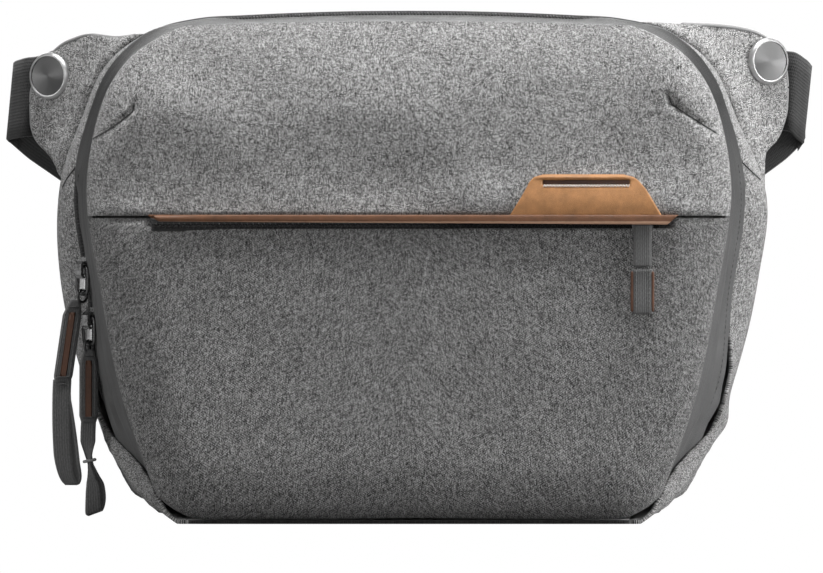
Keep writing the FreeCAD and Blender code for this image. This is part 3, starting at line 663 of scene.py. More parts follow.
def brushed(name, value, warm=0.0):
    """Brushed lining or felt: soft nap with a slight direction."""
    look = Look(name, Roughness=0.95, Specular_IOR_Level=0.15, Sheen_Weight=0.4,
                Sheen_Roughness=0.6)
    at = look.place()
    nap = look.noise(look.scaled(at, 1, 1, 0.5), 0.7, 4, 0.7)
    cloud = look.noise(at, 18.0, 2)
    look.colour(look.shade(grey(value, warm), look.spread(nap, 0.3, 0.7, 0.75, 1.25)
                           * look.spread(cloud, 0.3, 0.7, 0.92, 1.08)))
    look.bump(nap, 0.2, 0.7)
    return look.material


def moulded(name, value, rough):
    """Moulded nylon with a fine eroded finish."""
    look = Look(name, Specular_IOR_Level=0.45)
    at = look.place()
    grain = look.noise(at, 0.35, 3, 0.6)
    look.colour(look.shade(grey(value), look.spread(look.noise(at, 5.0), 0.3, 0.7, 0.9, 1.1)))
    look.rough(look.spread(grain, 0.3, 0.7, rough - 0.06, rough + 0.1))
    look.bump(grain, 0.03, 0.5)
    return look.material


HEATHER = heather("heather_cloth", 0.014, 0.65)
# The lower front panel gets a darker copy of the heather: painted shade, for the lower panel taking
# less of the light from above.
HEATHER_LOW_SHADED = heather("heather_cloth_lower", 0.012, 0.425)
BASE = heather("base_cloth", 0.02, 0.06)
# The gusset's colour carries painted shade in its crease over the top of the bag.
GUSSET = coated("gusset_cloth", 0.106, painted_crease_shade=True)
BINDING = coated("binding_cloth", 0.26, 0.6)
TAPE = webbing("zip_tape_cloth", 0.02, 0.8)
STRAP = webbing("strap_webbing_cloth", 0.034)
PULL = webbing("pull_webbing_cloth", 0.11, 1.0)
# Pale webbing, used only for the painted highlight ring at the lower loop's twist.
PULL_PALE = webbing("pale_webbing", 0.4, 1.0)
COIL = moulded("zip_coil_nylon", 0.012, 0.35)
CORE = leather("pull_core_leather", (0.10, 0.042, 0.022, 1), 0.6)
# The welt's lower edge is painted paler: a painted highlight.
WELT = leather("welt_leather", (0.14, 0.056, 0.022, 1), 0.5, (0.55, 0.33, 0.22, 1), 138.9)
WELT_DARK = leather("slot_shade_leather", (0.05, 0.02, 0.01, 1), 0.7)
TAN = leather("tab_leather", (0.42, 0.20, 0.075, 1), 0.48)
DISC = metal("disc_aluminium_dark", 0.07, 0.34, spun=True)
RIM = metal("disc_rim_aluminium", 0.62, 0.42)
DARK_METAL = metal("gunmetal", 0.10, 0.32)
BRIGHT = metal("satin_metal", 0.62, 0.3)
STEEL = metal("adjuster_aluminium", 0.28, 0.3)
PLATE = metal("link_plate_metal", 0.55, 0.35)
SLIDER = metal("slider_metal", 0.33, 0.26)
MESH = knit("back_mesh_cloth", 0.10)
PAD = knit("strap_pad_mesh", 0.06, 1.6)
LINING = brushed("lining_cloth", 0.22)
DIVIDER = brushed("divider_felt", 0.16)
THREAD = brushed("thread", 0.17)
DARK_THREAD = brushed("dark_thread", 0.03)
PALE_THREAD = brushed("pale_thread", 0.62, 0.06)


# ---- front pocket ---------------------------------------------------------------------

FRONT_Y = -50.0
FULLNESS = 16.2
HEM, SEAM, TOP_LINE = 141.6, 140.6, 229.2
FRONT_GRID = (181, 121)
DARTS = {
    "left": [(-145.5, 177), (-138, 181), (-130, 186.5), (-126.5, 190), (-126, 193.5)],
    "right": [(141.5, 179.5), (132.5, 185), (124, 190.5), (120.5, 193), (119, 197)],
}
# Each soft roll or hollow: its height, its reach, and its two ends as X and Z.
FOLDS = (
    (-2.2, 17, (-122, 150), (-92, 150)), (-2.6, 19, (117, 186), (96, 176)),
    (-0.8, 14, (-80, 159), (0, 158)), (-1.3, 13, (-60, 196), (-95, 206)),
    (-1.1, 14, (60, 190), (92, 200)), (-0.7, 9, (20, 158), (-30, 154)),
    (1.5, 9, (-133, 176), (-118, 199)), (1.4, 9, (126, 200), (136, 176)),
    (2.6, 11, (30, 148), (118, 148)), (1.8, 14, (-124, 190), (-90, 188)),
    (0.8, 12, (-60, 188), (0, 186)))


def pocket_relief(x, z):
    """How far the pocket's cloth stands in front of its edge, with its soft folds."""
    share = np.clip(border_distance(x, z, FRONT) / (30 - 23 * ramp(z, 190, 34)), 0, 1)
    crown = 1 - ramp(z, 231.4 - 47, 47) ** 2.2
    stand = FULLNESS * (1 - (1 - share) ** 2.3) ** (1 / 2.1) * crown
    for dart in DARTS.values():
        for ends in zip(dart, dart[1:]):
            stand -= 1.5 * near_segment(x, z, ends, 1.5) * np.clip(share * 3, 0, 1)
    for height, reach, *ends in FOLDS:
        stand += height * near_segment(x, z, ends, reach)
    points = xyz(x, z, 0)
    return stand + 0.55 * bumps(points, 34, 3.1) + 0.22 * bumps(points, 13, 8.7)


def front_panels():
    # Upper panel, from the overhanging hem to the top line.
    x, z, share = panel(HEM, TOP_LINE, *FRONT_GRID)
    z = z + 1.9 * (1 - np.clip(np.abs(x) / 99, 0, 1) ** 2.4) * share ** 10
    lift = 0.6 * bell(z, 145.5, 3.2) * ramp(np.abs(x), 116, 8)
    hem = 2.2 * ramp(z, HEM + 2.6, -2.6) ** 3
    upper = xyz(x, FRONT_Y - pocket_relief(x, z) - (lift - hem) * inset(x, z, 10), z)
    sheet_piece("front_upper_cloth", upper, HEATHER, "front_cover", ["front_panel_upper"],
                "heather_fabric", thick=1.6, inside=LINING)
    # Lower panel, from the base to the seam under the hem, drawn in behind the strip.
    x, z, share = panel(2.0, SEAM, *FRONT_GRID)
    z = z + 0.9 * ramp(z, 12, -12) * (1 - eased(FRONT_GRID[0]) ** 2)
    stand = pocket_relief(x, z) * ((1 - ramp(z, 15, -15) ** 2.6) ** 0.5 * 0.98 + 0.02)
    mouth = ramp(z, 135.4, 1.6) * ramp(np.abs(x), 121.5, -4)
    tuck = 2.8 * ramp(z, 136.8, 3.8) ** 1.5
    lower = xyz(x, FRONT_Y - stand + mixed(tuck, 6.0 + 0 * x, mouth) * inset(x, z, 12), z)
    sheet_piece("front_lower_cloth", lower, HEATHER_LOW_SHADED, "front_cover", ["front_panel_lower"],
                "heather_fabric", thick=1.6, inside=LINING)
    for word, dart in DARTS.items():
        x, z = smooth_line(dart, 30).T
        tube(f"{word}_dart_seam", xyz(x, FRONT_Y - pocket_relief(x, z) - 0.15, z), 0.5,
             DARK_THREAD, "front_cover", sides=8, flat=0.6)


def foot_of(line):
    """1 near the gusset's lower corners, where it widens."""
    return 6.4 * ramp(line[:, 1], 64, -34) * ramp(line[:, 0], 100, 14)


def gusset():
    share = np.linspace(0, 1, 26)
    columns = []
    for s in share:
        line = mixed(FRONT, moved(ZIP, -2.2), s)
        low = ramp(line[:, 1], 175, -60) * ramp(line[:, 1], 30, 20)
        high = ramp(line[:, 1], 165, 25)
        crease = -(2.4 + 3.6 * high) * bell(s, 0.05, 0.10 + 0.14 * high)
        sag = -1.4 * math.sin(math.pi * s) * (1 - 0.5 * low)
        folds = low * (0.9 * bell(s, 0.55, 0.05) + 0.8 * bell(s, 0.82, 0.04)
                       - 0.9 * bell(s, 0.68, 0.06))
        offset = crease + sag + folds + foot_of(line) * s ** 2
        columns.append(standing(moved(line, offset[:, None]), -49.6 + s * 40.2))
    for offset, y in ((-1.7, -8.3), (-2.6, -7.6), (-4.2, -7.5), (-5.6, -7.9)):
        columns.append(standing(moved(ZIP, (offset + foot_of(ZIP))[:, None]), y))
    keep = (ZIP[:, 0] > 106) | (ZIP[:, 1] > 40)
    grid = both_sides(np.stack(columns, 1)[keep])
    # Its outer edge rolls over the zip, except where the sliders run.
    x, y, z = grid[:, 0].T
    cover = np.where(x < 0, ramp(z, 150, 8), ramp(z, 46, 10))
    cover *= 0.5 * ramp(np.abs(x), 76, 12) + 0.5 * ramp(np.abs(x), 104, 12)
    roll = np.r_[share ** 4, 0.9, 0.5, 0.2, 0] * 2.9
    away = both_sides(outward(ZIP)[keep]) * cover[:, None]
    grid[..., ::2] += away[:, None] * roll[:, None]
    grid[..., 0] += np.sign(grid[..., 0]) * bumps(grid * [1, 2.2, 1], 17, 2.0) * 0.4
    band = sheet_piece("gusset_cloth_band", grid, GUSSET, "front_cover", ["front_gusset"],
                       "gusset_fabric", thick=1.2, flip=True, inside=LINING)
    for side, word, low, offset in ((-1, "left", 156, -1.4), (1, "right", 52, -1.2)):
        line = moved(ZIP, offset)[(ZIP[:, 1] > low) & (ZIP[:, 1] < 168)] * [side, 1]
        stitches(f"gusset_{word}_stitches", laid_on([band], line), DARK_THREAD, "front_cover",
                 2.6, 0.7, 0.24)


def zip_path(place, start):
    """A path over the bag at an (offset, depth) from the zip, between two start heights."""
    return both_sides(standing(moved(ZIP, place[0]), place[1])[ZIP[:, 1] >= start])


def main_zip():
    """Two tapes, each with a row of teeth that mesh alternately."""
    for word, side, body, near, far in (
            ("front", 1, "front_cover", (-5.9, -7.9), (-3.3, -5.3)),
            ("rear", -1, "rear_body", (-2.7, -4.7), (0.4, -1.6))):
        places = np.linspace(near, far, 4)
        sheet_piece(f"{word}_tape_cloth", np.stack([zip_path(place, 44) for place in places], 1),
                    TAPE, body, [f"{word}_zip_tape"], "zip_tape", thick=0.8, flip=True)
        middle = -3.0 - side * 1.1
        spine = zip_path((middle + 0.5, middle - 2.5), 44.5)
        at = np.arange(1.15 if side > 0 else 0.4, lengths(spine)[-1] - 0.4, 1.5)
        centre = at_lengths(spine, at)
        ahead = unit(at_lengths(spine, at + 0.1) - centre)
        normal = xyz(-ahead[:, 2], 0, ahead[:, 0])
        normal *= np.sign((normal * (centre - [0, 0, 115])).sum(1))[:, None]
        reach = np.array([-1.35, -1.0, 0, 1.0, 1.35])[:, None] / math.sqrt(2)
        rise = np.array([-0.45, 0.0, 0.22, 0.0, -0.45])[:, None] / math.sqrt(2)
        back = np.array([0, 1, 0])
        paths = [c + (n + back) * reach + (n - back) * rise for c, n in zip(centre, normal)]
        piece(f"{word}_coil_teeth", *tube_parts(paths, 0.62, 6, 0.85), COIL, body,
              [f"{word}_zip_coil"], "zip_coil")


# ---- rear body --------------------------------------------------------------------------

SHELL = (
    (-52.0, FLAP), (-1.6, outline("rim")), (14.0, SIDE), (30.0, mixed(SIDE, BACK, 0.45)),
    (42.0, mixed(SIDE, BACK, 0.85)), (45.0, moved(BACK, -0.8)), (47.0, moved(BACK, -3.2)))


def shell_grid(columns=44):
    """The right half of the rear shell: rows up the outline, columns front to back."""
    depths = [y for y, line in SHELL]
    lines = np.stack([line for y, line in SHELL])
    reach, height = SIDE[:, :1], SIDE[:, 1:]
    front = np.maximum(-1.6 - np.maximum(44 - height, 0) * 1.24, -51.5)
    share = 0.5 * eased(columns * 2 - 1)[columns - 1:] + 0.5 * np.linspace(0, 1, columns)
    y = front + share * (47 - front)
    grid = np.zeros((RING, columns, 3))
    for i in range(RING):
        for k in (0, 1):
            grid[i, :, 2 * k] = np.interp(y[i], depths, lines[:, i, k])
    grid[..., 1] = y
    for _ in range(2):
        flat = grid[..., ::2]
        flat[:, 1:-1] = (flat[:, :-2] + 2 * flat[:, 1:-1] + flat[:, 2:]) / 4
    # The cloth gathers and rolls along its front edge, and fills out behind it.
    low = ramp(height, 50, -25) * ramp(reach, 96, 10)
    gather = np.sin(lengths(SIDE)[:, None] * 0.95 + 1.3 * np.sin(y * 0.16)) * np.exp(-share * 2.4)
    rolled = -5.0 * bell(share, 0, 0.05) * ramp(height, 3, 9) + 1.4 * bell(share, 0.12, 0.09)
    deep = bell(height, 112, 30)
    edge = -(3.4 + 2.8 * deep) * bell(share, 0, 0.06 + 0.05 * deep) * ramp(height, 70, 30)
    full = 2.6 * bell(height, 108, 30) * np.clip(share * 5, 0, 1)
    soft = 0.8 * bumps(grid * [0.6, 1, 0.5], 16, 5.5) * ramp(reach, 90, 20)
    push = low * (0.3 * gather + rolled) + edge + soft + full
    normal = outward(SIDE)
    grid[..., 0] += push * normal[:, :1]
    grid[..., 2] += np.where(grid[..., 2] > 6, push * normal[:, 1:], 0)
    return grid


def rear_shell():
    grid = shell_grid()
    reach, height = SIDE.T
    base = (reach < 107.5) & (height < 4)
    top = (reach < 101) & (height > 190)
    flank = ~base & ~top
    first, last = np.where(flank)[0][[0, -1]]
    flank[max(first - 1, 0):last + 2] = True
    lined = {"thick": 1.8, "inside": LINING}
    whole = np.concatenate([grid[base][::-1] * [-1, 1, 1], grid[base][1:]])
    sheet_piece("base_cloth_panel", whole, BASE, "rear_body", ["bottom_panel"], "base_fabric", **lined)
    sheet_piece("top_cloth_panel", both_sides(grid[top]), HEATHER, "rear_body", ["top_panel"],
                "gusset_fabric", flip=True, **lined)
    for side, word in ((-1, "left"), (1, "right")):
        cheek = grid[flank] * [side, 1, 1]
        if side > 0:
            swell = 3.4 * bell(cheek[..., 2], 148, 24) + 4.0 * bell(cheek[..., 2], 45, 9)
            cheek[..., 0] += swell * np.clip(np.linspace(0, 5, cheek.shape[1]), 0, 1)
        sheet_piece(f"{word}_side_cloth", cheek, HEATHER, "rear_body", [f"{word}_side_panel"],
                    "heather_fabric", flip=side < 0, **lined)


def back_panel():
    """Padded mesh with sewn channels, inside a piping."""
    line = moved(BACK, -2.2)
    x, z, share = panel(2.2, 227, 101, 91, line)
    channel = np.maximum(bell(x, 0, 7.0), bell(np.abs(x), 92, 3.0))
    for level in (58, 112, 166):
        channel = np.maximum(channel, bell(z - (np.abs(x) / 22) ** 1.6, level, 3.4))
    reach = border_distance(x, z, np.vstack([line, [0, 228]]))
    stand = (3.325 * rounded(np.clip(reach / 9, 0, 1)) - 1.7 * channel
             + 0.25 * bumps(xyz(x, z, 0), 20))
    sheet_piece("back_mesh_panel", xyz(x, 47.0 + np.clip(stand, 0, 3.4), z), MESH, "rear_body",
                ["back_panel"], "back_mesh", np.stack([x, z], 2), flip=True)
    tube("back_piping", both_sides(standing(line, 47.1))[::2], 1.5, BASE, "rear_body", closed=True)


# ---- wings, discs and strap ends ----------------------------------------------------------

TURN = math.radians(32)
ROOT = 118.0
WINGS = {
    "left": {
        "side": -1, "disc": 208.0,
        "top": [(96, 226), (110, 227), (128, 226.6), (138, 225.6), (150, 227), (158, 225.2),
                (165, 221.8), (172, 214.5), (176.6, 206), (178.6, 200)],
        "low": [(96, 150), (120, 150), (140, 151), (155, 156), (162.5, 164.5), (168, 170.3),
                (173, 174.8), (176.4, 179), (178.2, 184), (178.6, 188)],
        "seam": [(-153, 167), (-156, 163.5), (-159, 159.5), (-161.5, 155)]},
    "right": {
        "side": 1, "disc": 215.0,
        "top": [(96, 232), (110, 232.2), (128, 231.8), (138, 231.6), (147, 231.2), (157, 230),
                (165, 227.8), (172.6, 222.8), (177, 215), (178.7, 207)],
        "low": [(96, 148), (120, 148), (150, 149), (162, 153), (164.1, 158.6), (165, 162.5),
                (165.5, 167.9), (167, 171.9), (169.5, 174.6),
                (173.6, 178.5), (176.4, 184.5), (178.2, 191), (178.7, 197)],
        "seam": [(155, 167), (157.5, 164.6), (160.5, 161.8), (164, 158.8)]},
}


def on_wing(side, out, back, z):
    """Points a distance out along a wing's plane, a distance behind it, at a height."""
    c, s = math.cos(TURN), math.sin(TURN)
    return xyz(out, back, z) @ [[side * c, s, 0], [-side * s, c, 0], [0, 0, 1]] + [side * ROOT, 12, 0]


def wings():
    count = 30
    span = eased(count, 1.9)
    levels = np.linspace(100, 232, 60)
    x = (97 + (178.65 - 97) * (1 - (1 - np.linspace(0, 1, 72)) ** 1.8))[:, None]
    for word, info in WINGS.items():
        side = info["side"]
        low, top = (np.interp(x, *smooth_line(info[edge], 200).T) for edge in ("low", "top"))
        z = (low + top) / 2 + span * (top - low) / 2
        shell = np.interp(z, levels, half_at(levels, SIDE))
        # Both faces start just under the side's cloth and never reach into the bag.
        layers, under = [], []
        for gap in (9.0, 2.5):
            under.append(x <= shell - gap)
            out = np.maximum(x, shell - gap)
            forward = 9.5 * np.exp(-np.clip((out - shell) / 9, 0, 6)) * ramp(out, shell - 14, 10)
            thin = (1 - np.abs(span) ** 7) ** 0.5 * 2.2 * ramp(out, 178.9, -3.5) ** 0.5
            point = xyz(out, z, 0)
            fold = 1.9 * bumps(point * [1.6, 0.8, 1], 17, 4 + side) + 0.8 * bumps(point, 8, side)
            fold *= ramp(np.hypot(out - 168, z - info["disc"]), 12, 10)
            face = 2.5 - forward + fold * 0.9 - thin
            if layers:
                face = np.maximum(2.5 + fold * 0.5 + thin, face + 0.5)
            layers.append(on_wing(side, (out - ROOT) / math.cos(TURN), face, z))
        grid = np.concatenate([layers[0], layers[1][:, ::-1]], 1)
        hidden = np.concatenate([under[0], under[1][:, ::-1]], 1).ravel()
        rows, columns = grid.shape[:2]
        faces = [face for face in grid_faces(rows, columns, wrap=True, flip=side > 0)
                 if not all(hidden[k] for k in face)]
        for base, out in (((rows - 1) * columns, side > 0), (0, side < 0)):
            for j in range(count - 1):
                quad = (base + j, base + j + 1, base + columns - 2 - j, base + columns - 1 - j)
                faces.append(quad if out else quad[::-1])
        weave = np.stack([grid[..., 0] / math.cos(TURN), grid[..., 2]], 2)
        piece(f"{word}_wing_cloth", grid.reshape(-1, 3), faces, HEATHER, "rear_body",
              [f"{word}_wing"], "heather_fabric", weave)
        edge = [p for p in info["top"] if p[0] > 125] + info["low"][::-1][:-4]
        out, high = smooth_line(edge, 120).T
        tube(f"{word}_wing_binding", on_wing(side, (out - ROOT) / math.cos(TURN), 1.9, high), 0.8,
             BINDING, "rear_body", sides=8)


def discs():
    for word, info in WINGS.items():
        side = info["side"]
        centre = on_wing(side, 59, 0, info["disc"])
        turn = Matrix.Rotation(side * TURN, 3, "Z") @ Matrix.Rotation(math.radians(90), 3, "X")
        rim = [(9.2, 0.3), (10.6, 0.3), (11.0, 0.7), (11.0, 1.7), (10.7, 2.3), (10.0, 3.0),
               (9.6, 3.2), (9.35, 3.15), (9.2, 2.6)]
        face = [(0.05, 0.4), (9.3, 0.4), (9.3, 2.66), (6, 2.72), (3, 2.75), (0.05, 2.76)]
        lathe(f"{word}_disc_rim", rim, centre, turn, RIM, f"{word}_anchor",
              [f"{word}_anchor_disc"])
        lathe(f"{word}_disc_face", face, centre, turn, DISC, f"{word}_anchor")


def side_seams():
    """A dark seam where each wing meets its side, on whichever cloth is in front."""
    for word, info in WINGS.items():
        cloths = [bpy.data.objects[f"{word}_{part}_cloth"] for part in ("side", "wing")]
        seam = laid_on(cloths, smooth_line(info["seam"], 20), 0)
        tube(f"{word}_side_seam", seam, 0.55, DARK_THREAD, "rear_body", sides=8, flat=0.6)


# ---- leather and the pocket's zip ------------------------------------------------------------

def welt():
    """The strip: a folded hide edge with slanted ends, bowed slightly along its length."""
    y, z = np.array([(-66.4, 141.2), (-69.3, 142.0), (-70.3, 142.05), (-70.75, 141.6),
                     (-70.8, 140.2), (-70.9, 138.9), (-70.75, 137.9), (-70.2, 137.5),
                     (-69.4, 137.6), (-69.2, 138.6), (-69.1, 140.2), (-66.4, 140.4)]).T
    x = np.linspace(-119.8, 123.6, 150)[:, None]
    slant = np.sign(x - 2) * ramp(np.abs(x - 2), 110, 11.8) * (ramp(z, 137.5, 4.6) - 1) * 5.4
    bow = np.where(z < 140.3, 1.5 * (123.6 - x) / 243.4, 0)
    grid = xyz(x + slant, y, z + bow)
    piece("welt_hide", grid.reshape(-1, 3), bar_faces(*grid.shape[:2], flip=True), WELT,
          "front_cover", ["leather_welt"], "leather")


def tab_dip(x, z):
    """How far the tab follows the cloth behind it."""
    return np.clip(pocket_relief(x, z) - FULLNESS, -0.3, 3.6)


def tab():
    """A stitched hide patch with a slot along its folded top."""
    low, high, middle = 142.1, 160.6, 81.2
    level = low + (eased(56)[:, None] + 1) / 2 * (high - low)
    left = np.interp(level, [142, 150.5, 157.2, 159.4, high], [46.3, 51.6, 55.2, 57.4, 61.5])
    right = np.interp(level, [142, 153.6, 157.6, 159.4, high], [115.7, 108.8, 105.4, 103, 98.5])
    x = left + (eased(140) + 1) / 2 * (right - left)
    z = level + 0 * x
    side = np.minimum(x - left, right - x)
    stand = 0.9 * rounded(np.clip(np.minimum(side, high - z) / 0.9, 0, 1))
    slot = 1.3 * ramp(np.abs(x - middle), 20.4, -0.8) * ramp(np.abs(z - 156.6), 1.55, -0.5)
    fold = 0.8 * bell(z, 159.2, 0.9) * np.clip(side / 4, 0, 1)
    y = -66.9 - stand - fold + slot - tab_dip(x, z)
    sheet_piece("tab_hide", xyz(x, y, z), TAN, "front_cover", ["leather_tab"], "leather", thick=0.9)
    x = np.linspace(61.5, 101, 60)
    y = -67.75 - tab_dip(x, 155 + 0 * x)
    zig = np.where(np.arange(60) % 2 == 0, 154.6, 156.0)
    paths = [[(x[k], y[k] - 0.15, zig[k]), ((x[k] + x[k + 1]) / 2, y[k] - 0.25, 155.3),
              (x[k + 1], y[k] - 0.05, zig[k + 1])] for k in range(59)]
    piece("tab_zigzag_stitches", *tube_parts(paths, 0.26, 6), PALE_THREAD, "front_cover")
    ribbon("tab_slot_shade", xyz(x, y + 1.0, 157.0), [0, 0, 1.9], 0.5, WELT_DARK, "front_cover")


def pocket_zip():
    for word, low, high in (("lower", 134.1, 137.0), ("upper", 137.2, 140.4)):
        line = xyz(np.linspace(-118, 118, 60), -64.9, (low + high) / 2)
        ribbon(f"pocket_{word}_tape_cloth", line, [0, 0, high - low], 0.8, TAPE, "front_cover",
               [f"pocket_zip_{word}_tape"], "zip_tape")
    paths = []
    for number, x in enumerate(np.arange(-117, 117, 1.3)):
        z = 137.6 if number % 2 else 136.6
        paths.append([(x, -65.3, z - 0.9), (x, -65.75, z), (x, -65.3, z + 0.9)])
    piece("pocket_coil_teeth", *tube_parts(paths, 0.45, 6), COIL, "front_cover", slot="zip_coil")


def pocket_pull():
    """A ribbed webbing, a small joint and a stitched pull."""
    x, body = 107, "pocket_pull"
    line = smooth_line([(x, -67.9, 137.4), (x, -68.3, 134.6), (x, -68.2, 131), (x, -68.15, 127),
                        (x, -68.15, 123), (x, -68.1, 120), (x, -68.0, 118.4)], 24)
    ribbon("pocket_pull_webbing_cloth", line, [8.3, 0, 0], 1.1, PULL, body,
           ["pocket_pull_webbing"], "pull_webbing")
    turn = turns(28)
    tube("pocket_pull_link", xyz(x + 2.6 * np.cos(turn), -68.1, 117.5 + 1.3 * np.sin(turn)), 0.5,
         DARK_METAL, body, ["pocket_pull_ring"], "link_metal", closed=True)
    z = np.linspace(117.0, 96.8, 26)
    line = xyz(x, -68.1 - 0.15 * np.sin((z - 96) / 3), z)
    ribbon("pocket_pull_tab_cloth", line, [9.6, 0, 0], 1.7, PULL, body, ["pocket_pull_tab"],
           "pull_core")
    for side in (-1, 1):
        tube(f"pocket_pull_edge_{side + 1}", (line + [side * 4.7, -0.15, 0])[1:-1], 0.75, CORE,
             body, sides=8)
        stitches(f"pocket_pull_stitches_{side + 1}", line + [side * 3.1, -0.95, 0], DARK_THREAD,
                 body, 2.0, 0.6, 0.26)
    stitches("pocket_pull_bar_top", xyz(np.linspace(103, 111, 12), -69.0, 115.6), DARK_THREAD,
             body, 1.5, 0.7, 0.26)


# ---- main zip's pulls --------------------------------------------------------------------------

# Each core: its low and high ends, and the X of its foot and head.
PULLS = {
    "upper": {"pin": (-151.55, -8.82, 117.8), "core": (64.6, 103.0, -160.9, -154.6), "deep": -8.0},
    "lower": {"pin": (-148.49, -8.82, 94.3), "core": (46.2, 80.0, -148.6, -148.5), "deep": -9.4},
}
HALF_TURN = math.sqrt(0.5)
ACROSS = np.array([HALF_TURN, -HALF_TURN, 0])
AHEAD = np.array([HALF_TURN, HALF_TURN, 0])


def hung(points, pin, drop):
    """Points across, ahead and up, turned 45 degrees about Z and hung below a pin."""
    return np.asarray(points, float) @ [ACROSS, AHEAD, [0, 0, 1]] + pin - [0, 0, drop]


def rounded_ring(wide, tall, corner, count=44):
    """A rounded oblong in its own XZ plane, centred."""
    c, s = np.cos(turns(count)), np.sin(turns(count))
    return xyz(np.sign(c) * np.abs(c) ** corner * wide / 2, 0,
               np.sign(s) * np.abs(s) ** corner * tall / 2)


def main_pulls():
    for word, info in PULLS.items():
        pin = info["pin"]
        body, tag = f"{word}_link", f"{word}_tab"
        tube(f"{word}_link_wire", hung(rounded_ring(7.4, 12.7, 0.45), pin, 5.7), 0.85, DARK_METAL,
             body, [f"{word}_pull_link"], "link_metal", closed=True, flat=0.8)
        bar = [(-2.4, 0, 0), (-2.2, -0.2, 0), (0, -0.3, 0), (2.2, -0.2, 0), (2.4, 0, 0)]
        tube(f"{word}_link_bar", hung(bar, pin, 3.4), 0.7, BRIGHT, body)
        plate = [(0, 0.1, z) for z in np.linspace(3.3, -3.3, 10)]
        ribbon(f"{word}_link_plate", hung(plate, pin, 7.0), 4.4 * ACROSS, 0.5, PLATE, body)
        ring = xyz(0, 2.8 * np.cos(turns(28)), 2.8 * np.sin(turns(28)))
        tube(f"{word}_ring_wire", hung(ring, pin, 13.0), 0.62, DARK_METAL, tag,
             [f"{word}_pull_ring"], "link_metal", closed=True)
        # Woven sleeve over a hide core, pinched where it meets the ring.
        low, high, foot, head = info["core"]
        z = np.linspace(high, low, 34)
        lean = np.interp(z, [low, high - 6, high], [foot, (foot + 3 * head) / 4, head])
        wide = np.interp(z, [low, low + 3, high - 7, high - 2, high], [7.0, 8.8, 8.8, 6.0, 4.2])
        line, widths = xyz(lean, info["deep"], z), xyz(wide, 0, 0)
        ribbon(f"{word}_core_sleeve", line, widths, 2.4, PULL, tag, [f"{word}_pull_core"],
               "pull_core")
        for end, y in (("", -0.55), ("_rear", 0.55)):
            ribbon(f"{word}_core_hide{end}", (line + [0, y, 0])[5:32], widths[5:32] * 0.5, 2.2,
                   CORE, tag)
        for side in (-1, 1):
            stitches(f"{word}_core_stitches_{side + 1}",
                     (line + widths * side * 0.36 + [0, -1.35, 0])[2:33], DARK_THREAD, tag,
                     1.9, 0.6, 0.25)
        for end, at in (("top", 3), ("low", 31)):
            bar = line[at] + widths[at] * np.linspace(-0.4, 0.4, 6)[:, None] + [0, -1.65, 0]
            tube(f"{word}_core_bar_{end}", bar, 0.5, DARK_THREAD, tag, sides=8)


def upper_loop():
    """Its near strand lies flat to the front and its far strand turns edge on."""
    path = smooth_line([(-160.9, -8.5, 66), (-161.2, -8.8, 58), (-161.2, -8.9, 44),
                        (-160.5, -8.9, 30), (-159.0, -8.8, 21.5), (-156.9, -8.4, 17.6),
                        (-155.2, -7.9, 18.8), (-154.6, -7.5, 24), (-156.0, -7.3, 38),
                        (-158.0, -7.3, 52), (-159.8, -7.4, 62), (-160.6, -7.5, 66.5)], 90)
    t = np.linspace(0, 1, 90)
    angle = np.radians(np.interp(t, [0, 0.38, 0.5, 0.6, 0.9, 1], [0, 8, 38, 66, 66, 20]))
    wide = np.interp(t, [0, .35, .5, 1], [8.6, 8.6, 7, 6])[:, None]
    ribbon("upper_loop_cloth", path, unit(xyz(8.6 * np.cos(angle), -5.0 * np.sin(angle), 0)) * wide,
           1.1, PULL, "upper_tab", ["upper_pull_loop"], "pull_webbing")
    tube("upper_loop_join", [(-163.2, -9.6, 63.6), (-160.9, -9.8, 63.8), (-158.6, -9.6, 63.6)],
         0.6, DARK_THREAD, "upper_tab")


def lower_loop():
    """Twisted once below its core, then opening into a pointed flat end."""
    path = smooth_line([(-148.6, -9.2, 48), (-148.9, -9.6, 41), (-148.9, -9.4, 34),
                        (-148.4, -9.0, 28.5), (-147.6, -9.4, 23), (-146.6, -9.9, 16),
                        (-146.4, -9.8, 9.5), (-146.2, -9.0, 5.2), (-145.4, -8.2, 4.6),
                        (-144.2, -7.8, 9.5), (-144.8, -7.9, 17), (-146.6, -8.3, 24),
                        (-148.0, -8.6, 28.5), (-149.4, -8.2, 36), (-149.0, -8.2, 47)], 100)
    t = np.linspace(0, 1, 100)
    wide = np.interp(t, [0, .12, .2, .27, .38, .48, .56, .66, .76, .88, 1],
                     [7.0, 7.2, 5, 3.6, 7.4, 8.2, 7.6, 7.4, 4.2, 5.6, 6.6])[:, None]
    angle = np.radians(np.interp(t, [0, .12, .24, .34, .5, .64, .76, .9, 1],
                                 [0, 10, 75, 20, 12, 24, 70, 30, 10]))
    tilt = np.interp(t, [0, .3, .45, .56, .7, 1], [0, 0, 0.30, 0.42, 0.2, 0])
    ribbon("lower_loop_cloth", path, xyz(np.cos(angle), -np.sin(angle), tilt) * wide, 1.1, PULL,
           "lower_tab", ["lower_pull_loop"], "pull_webbing")
    # A pale ring round the loop at its twist: a painted highlight for the bright pinch there.
    c, s = np.cos(turns(24)), np.sin(turns(24))
    tube("lower_loop_highlight_ring", xyz(-148.2 + 2.5 * c, -8.8 + 1.9 * s, 28.4 + 0.5 * c), 0.75,
         PULL_PALE, "lower_tab", closed=True)


# ---- strap ---------------------------------------------------------------------------------------

STRAP_Z = 138
STRAP_WIDE = 37.6
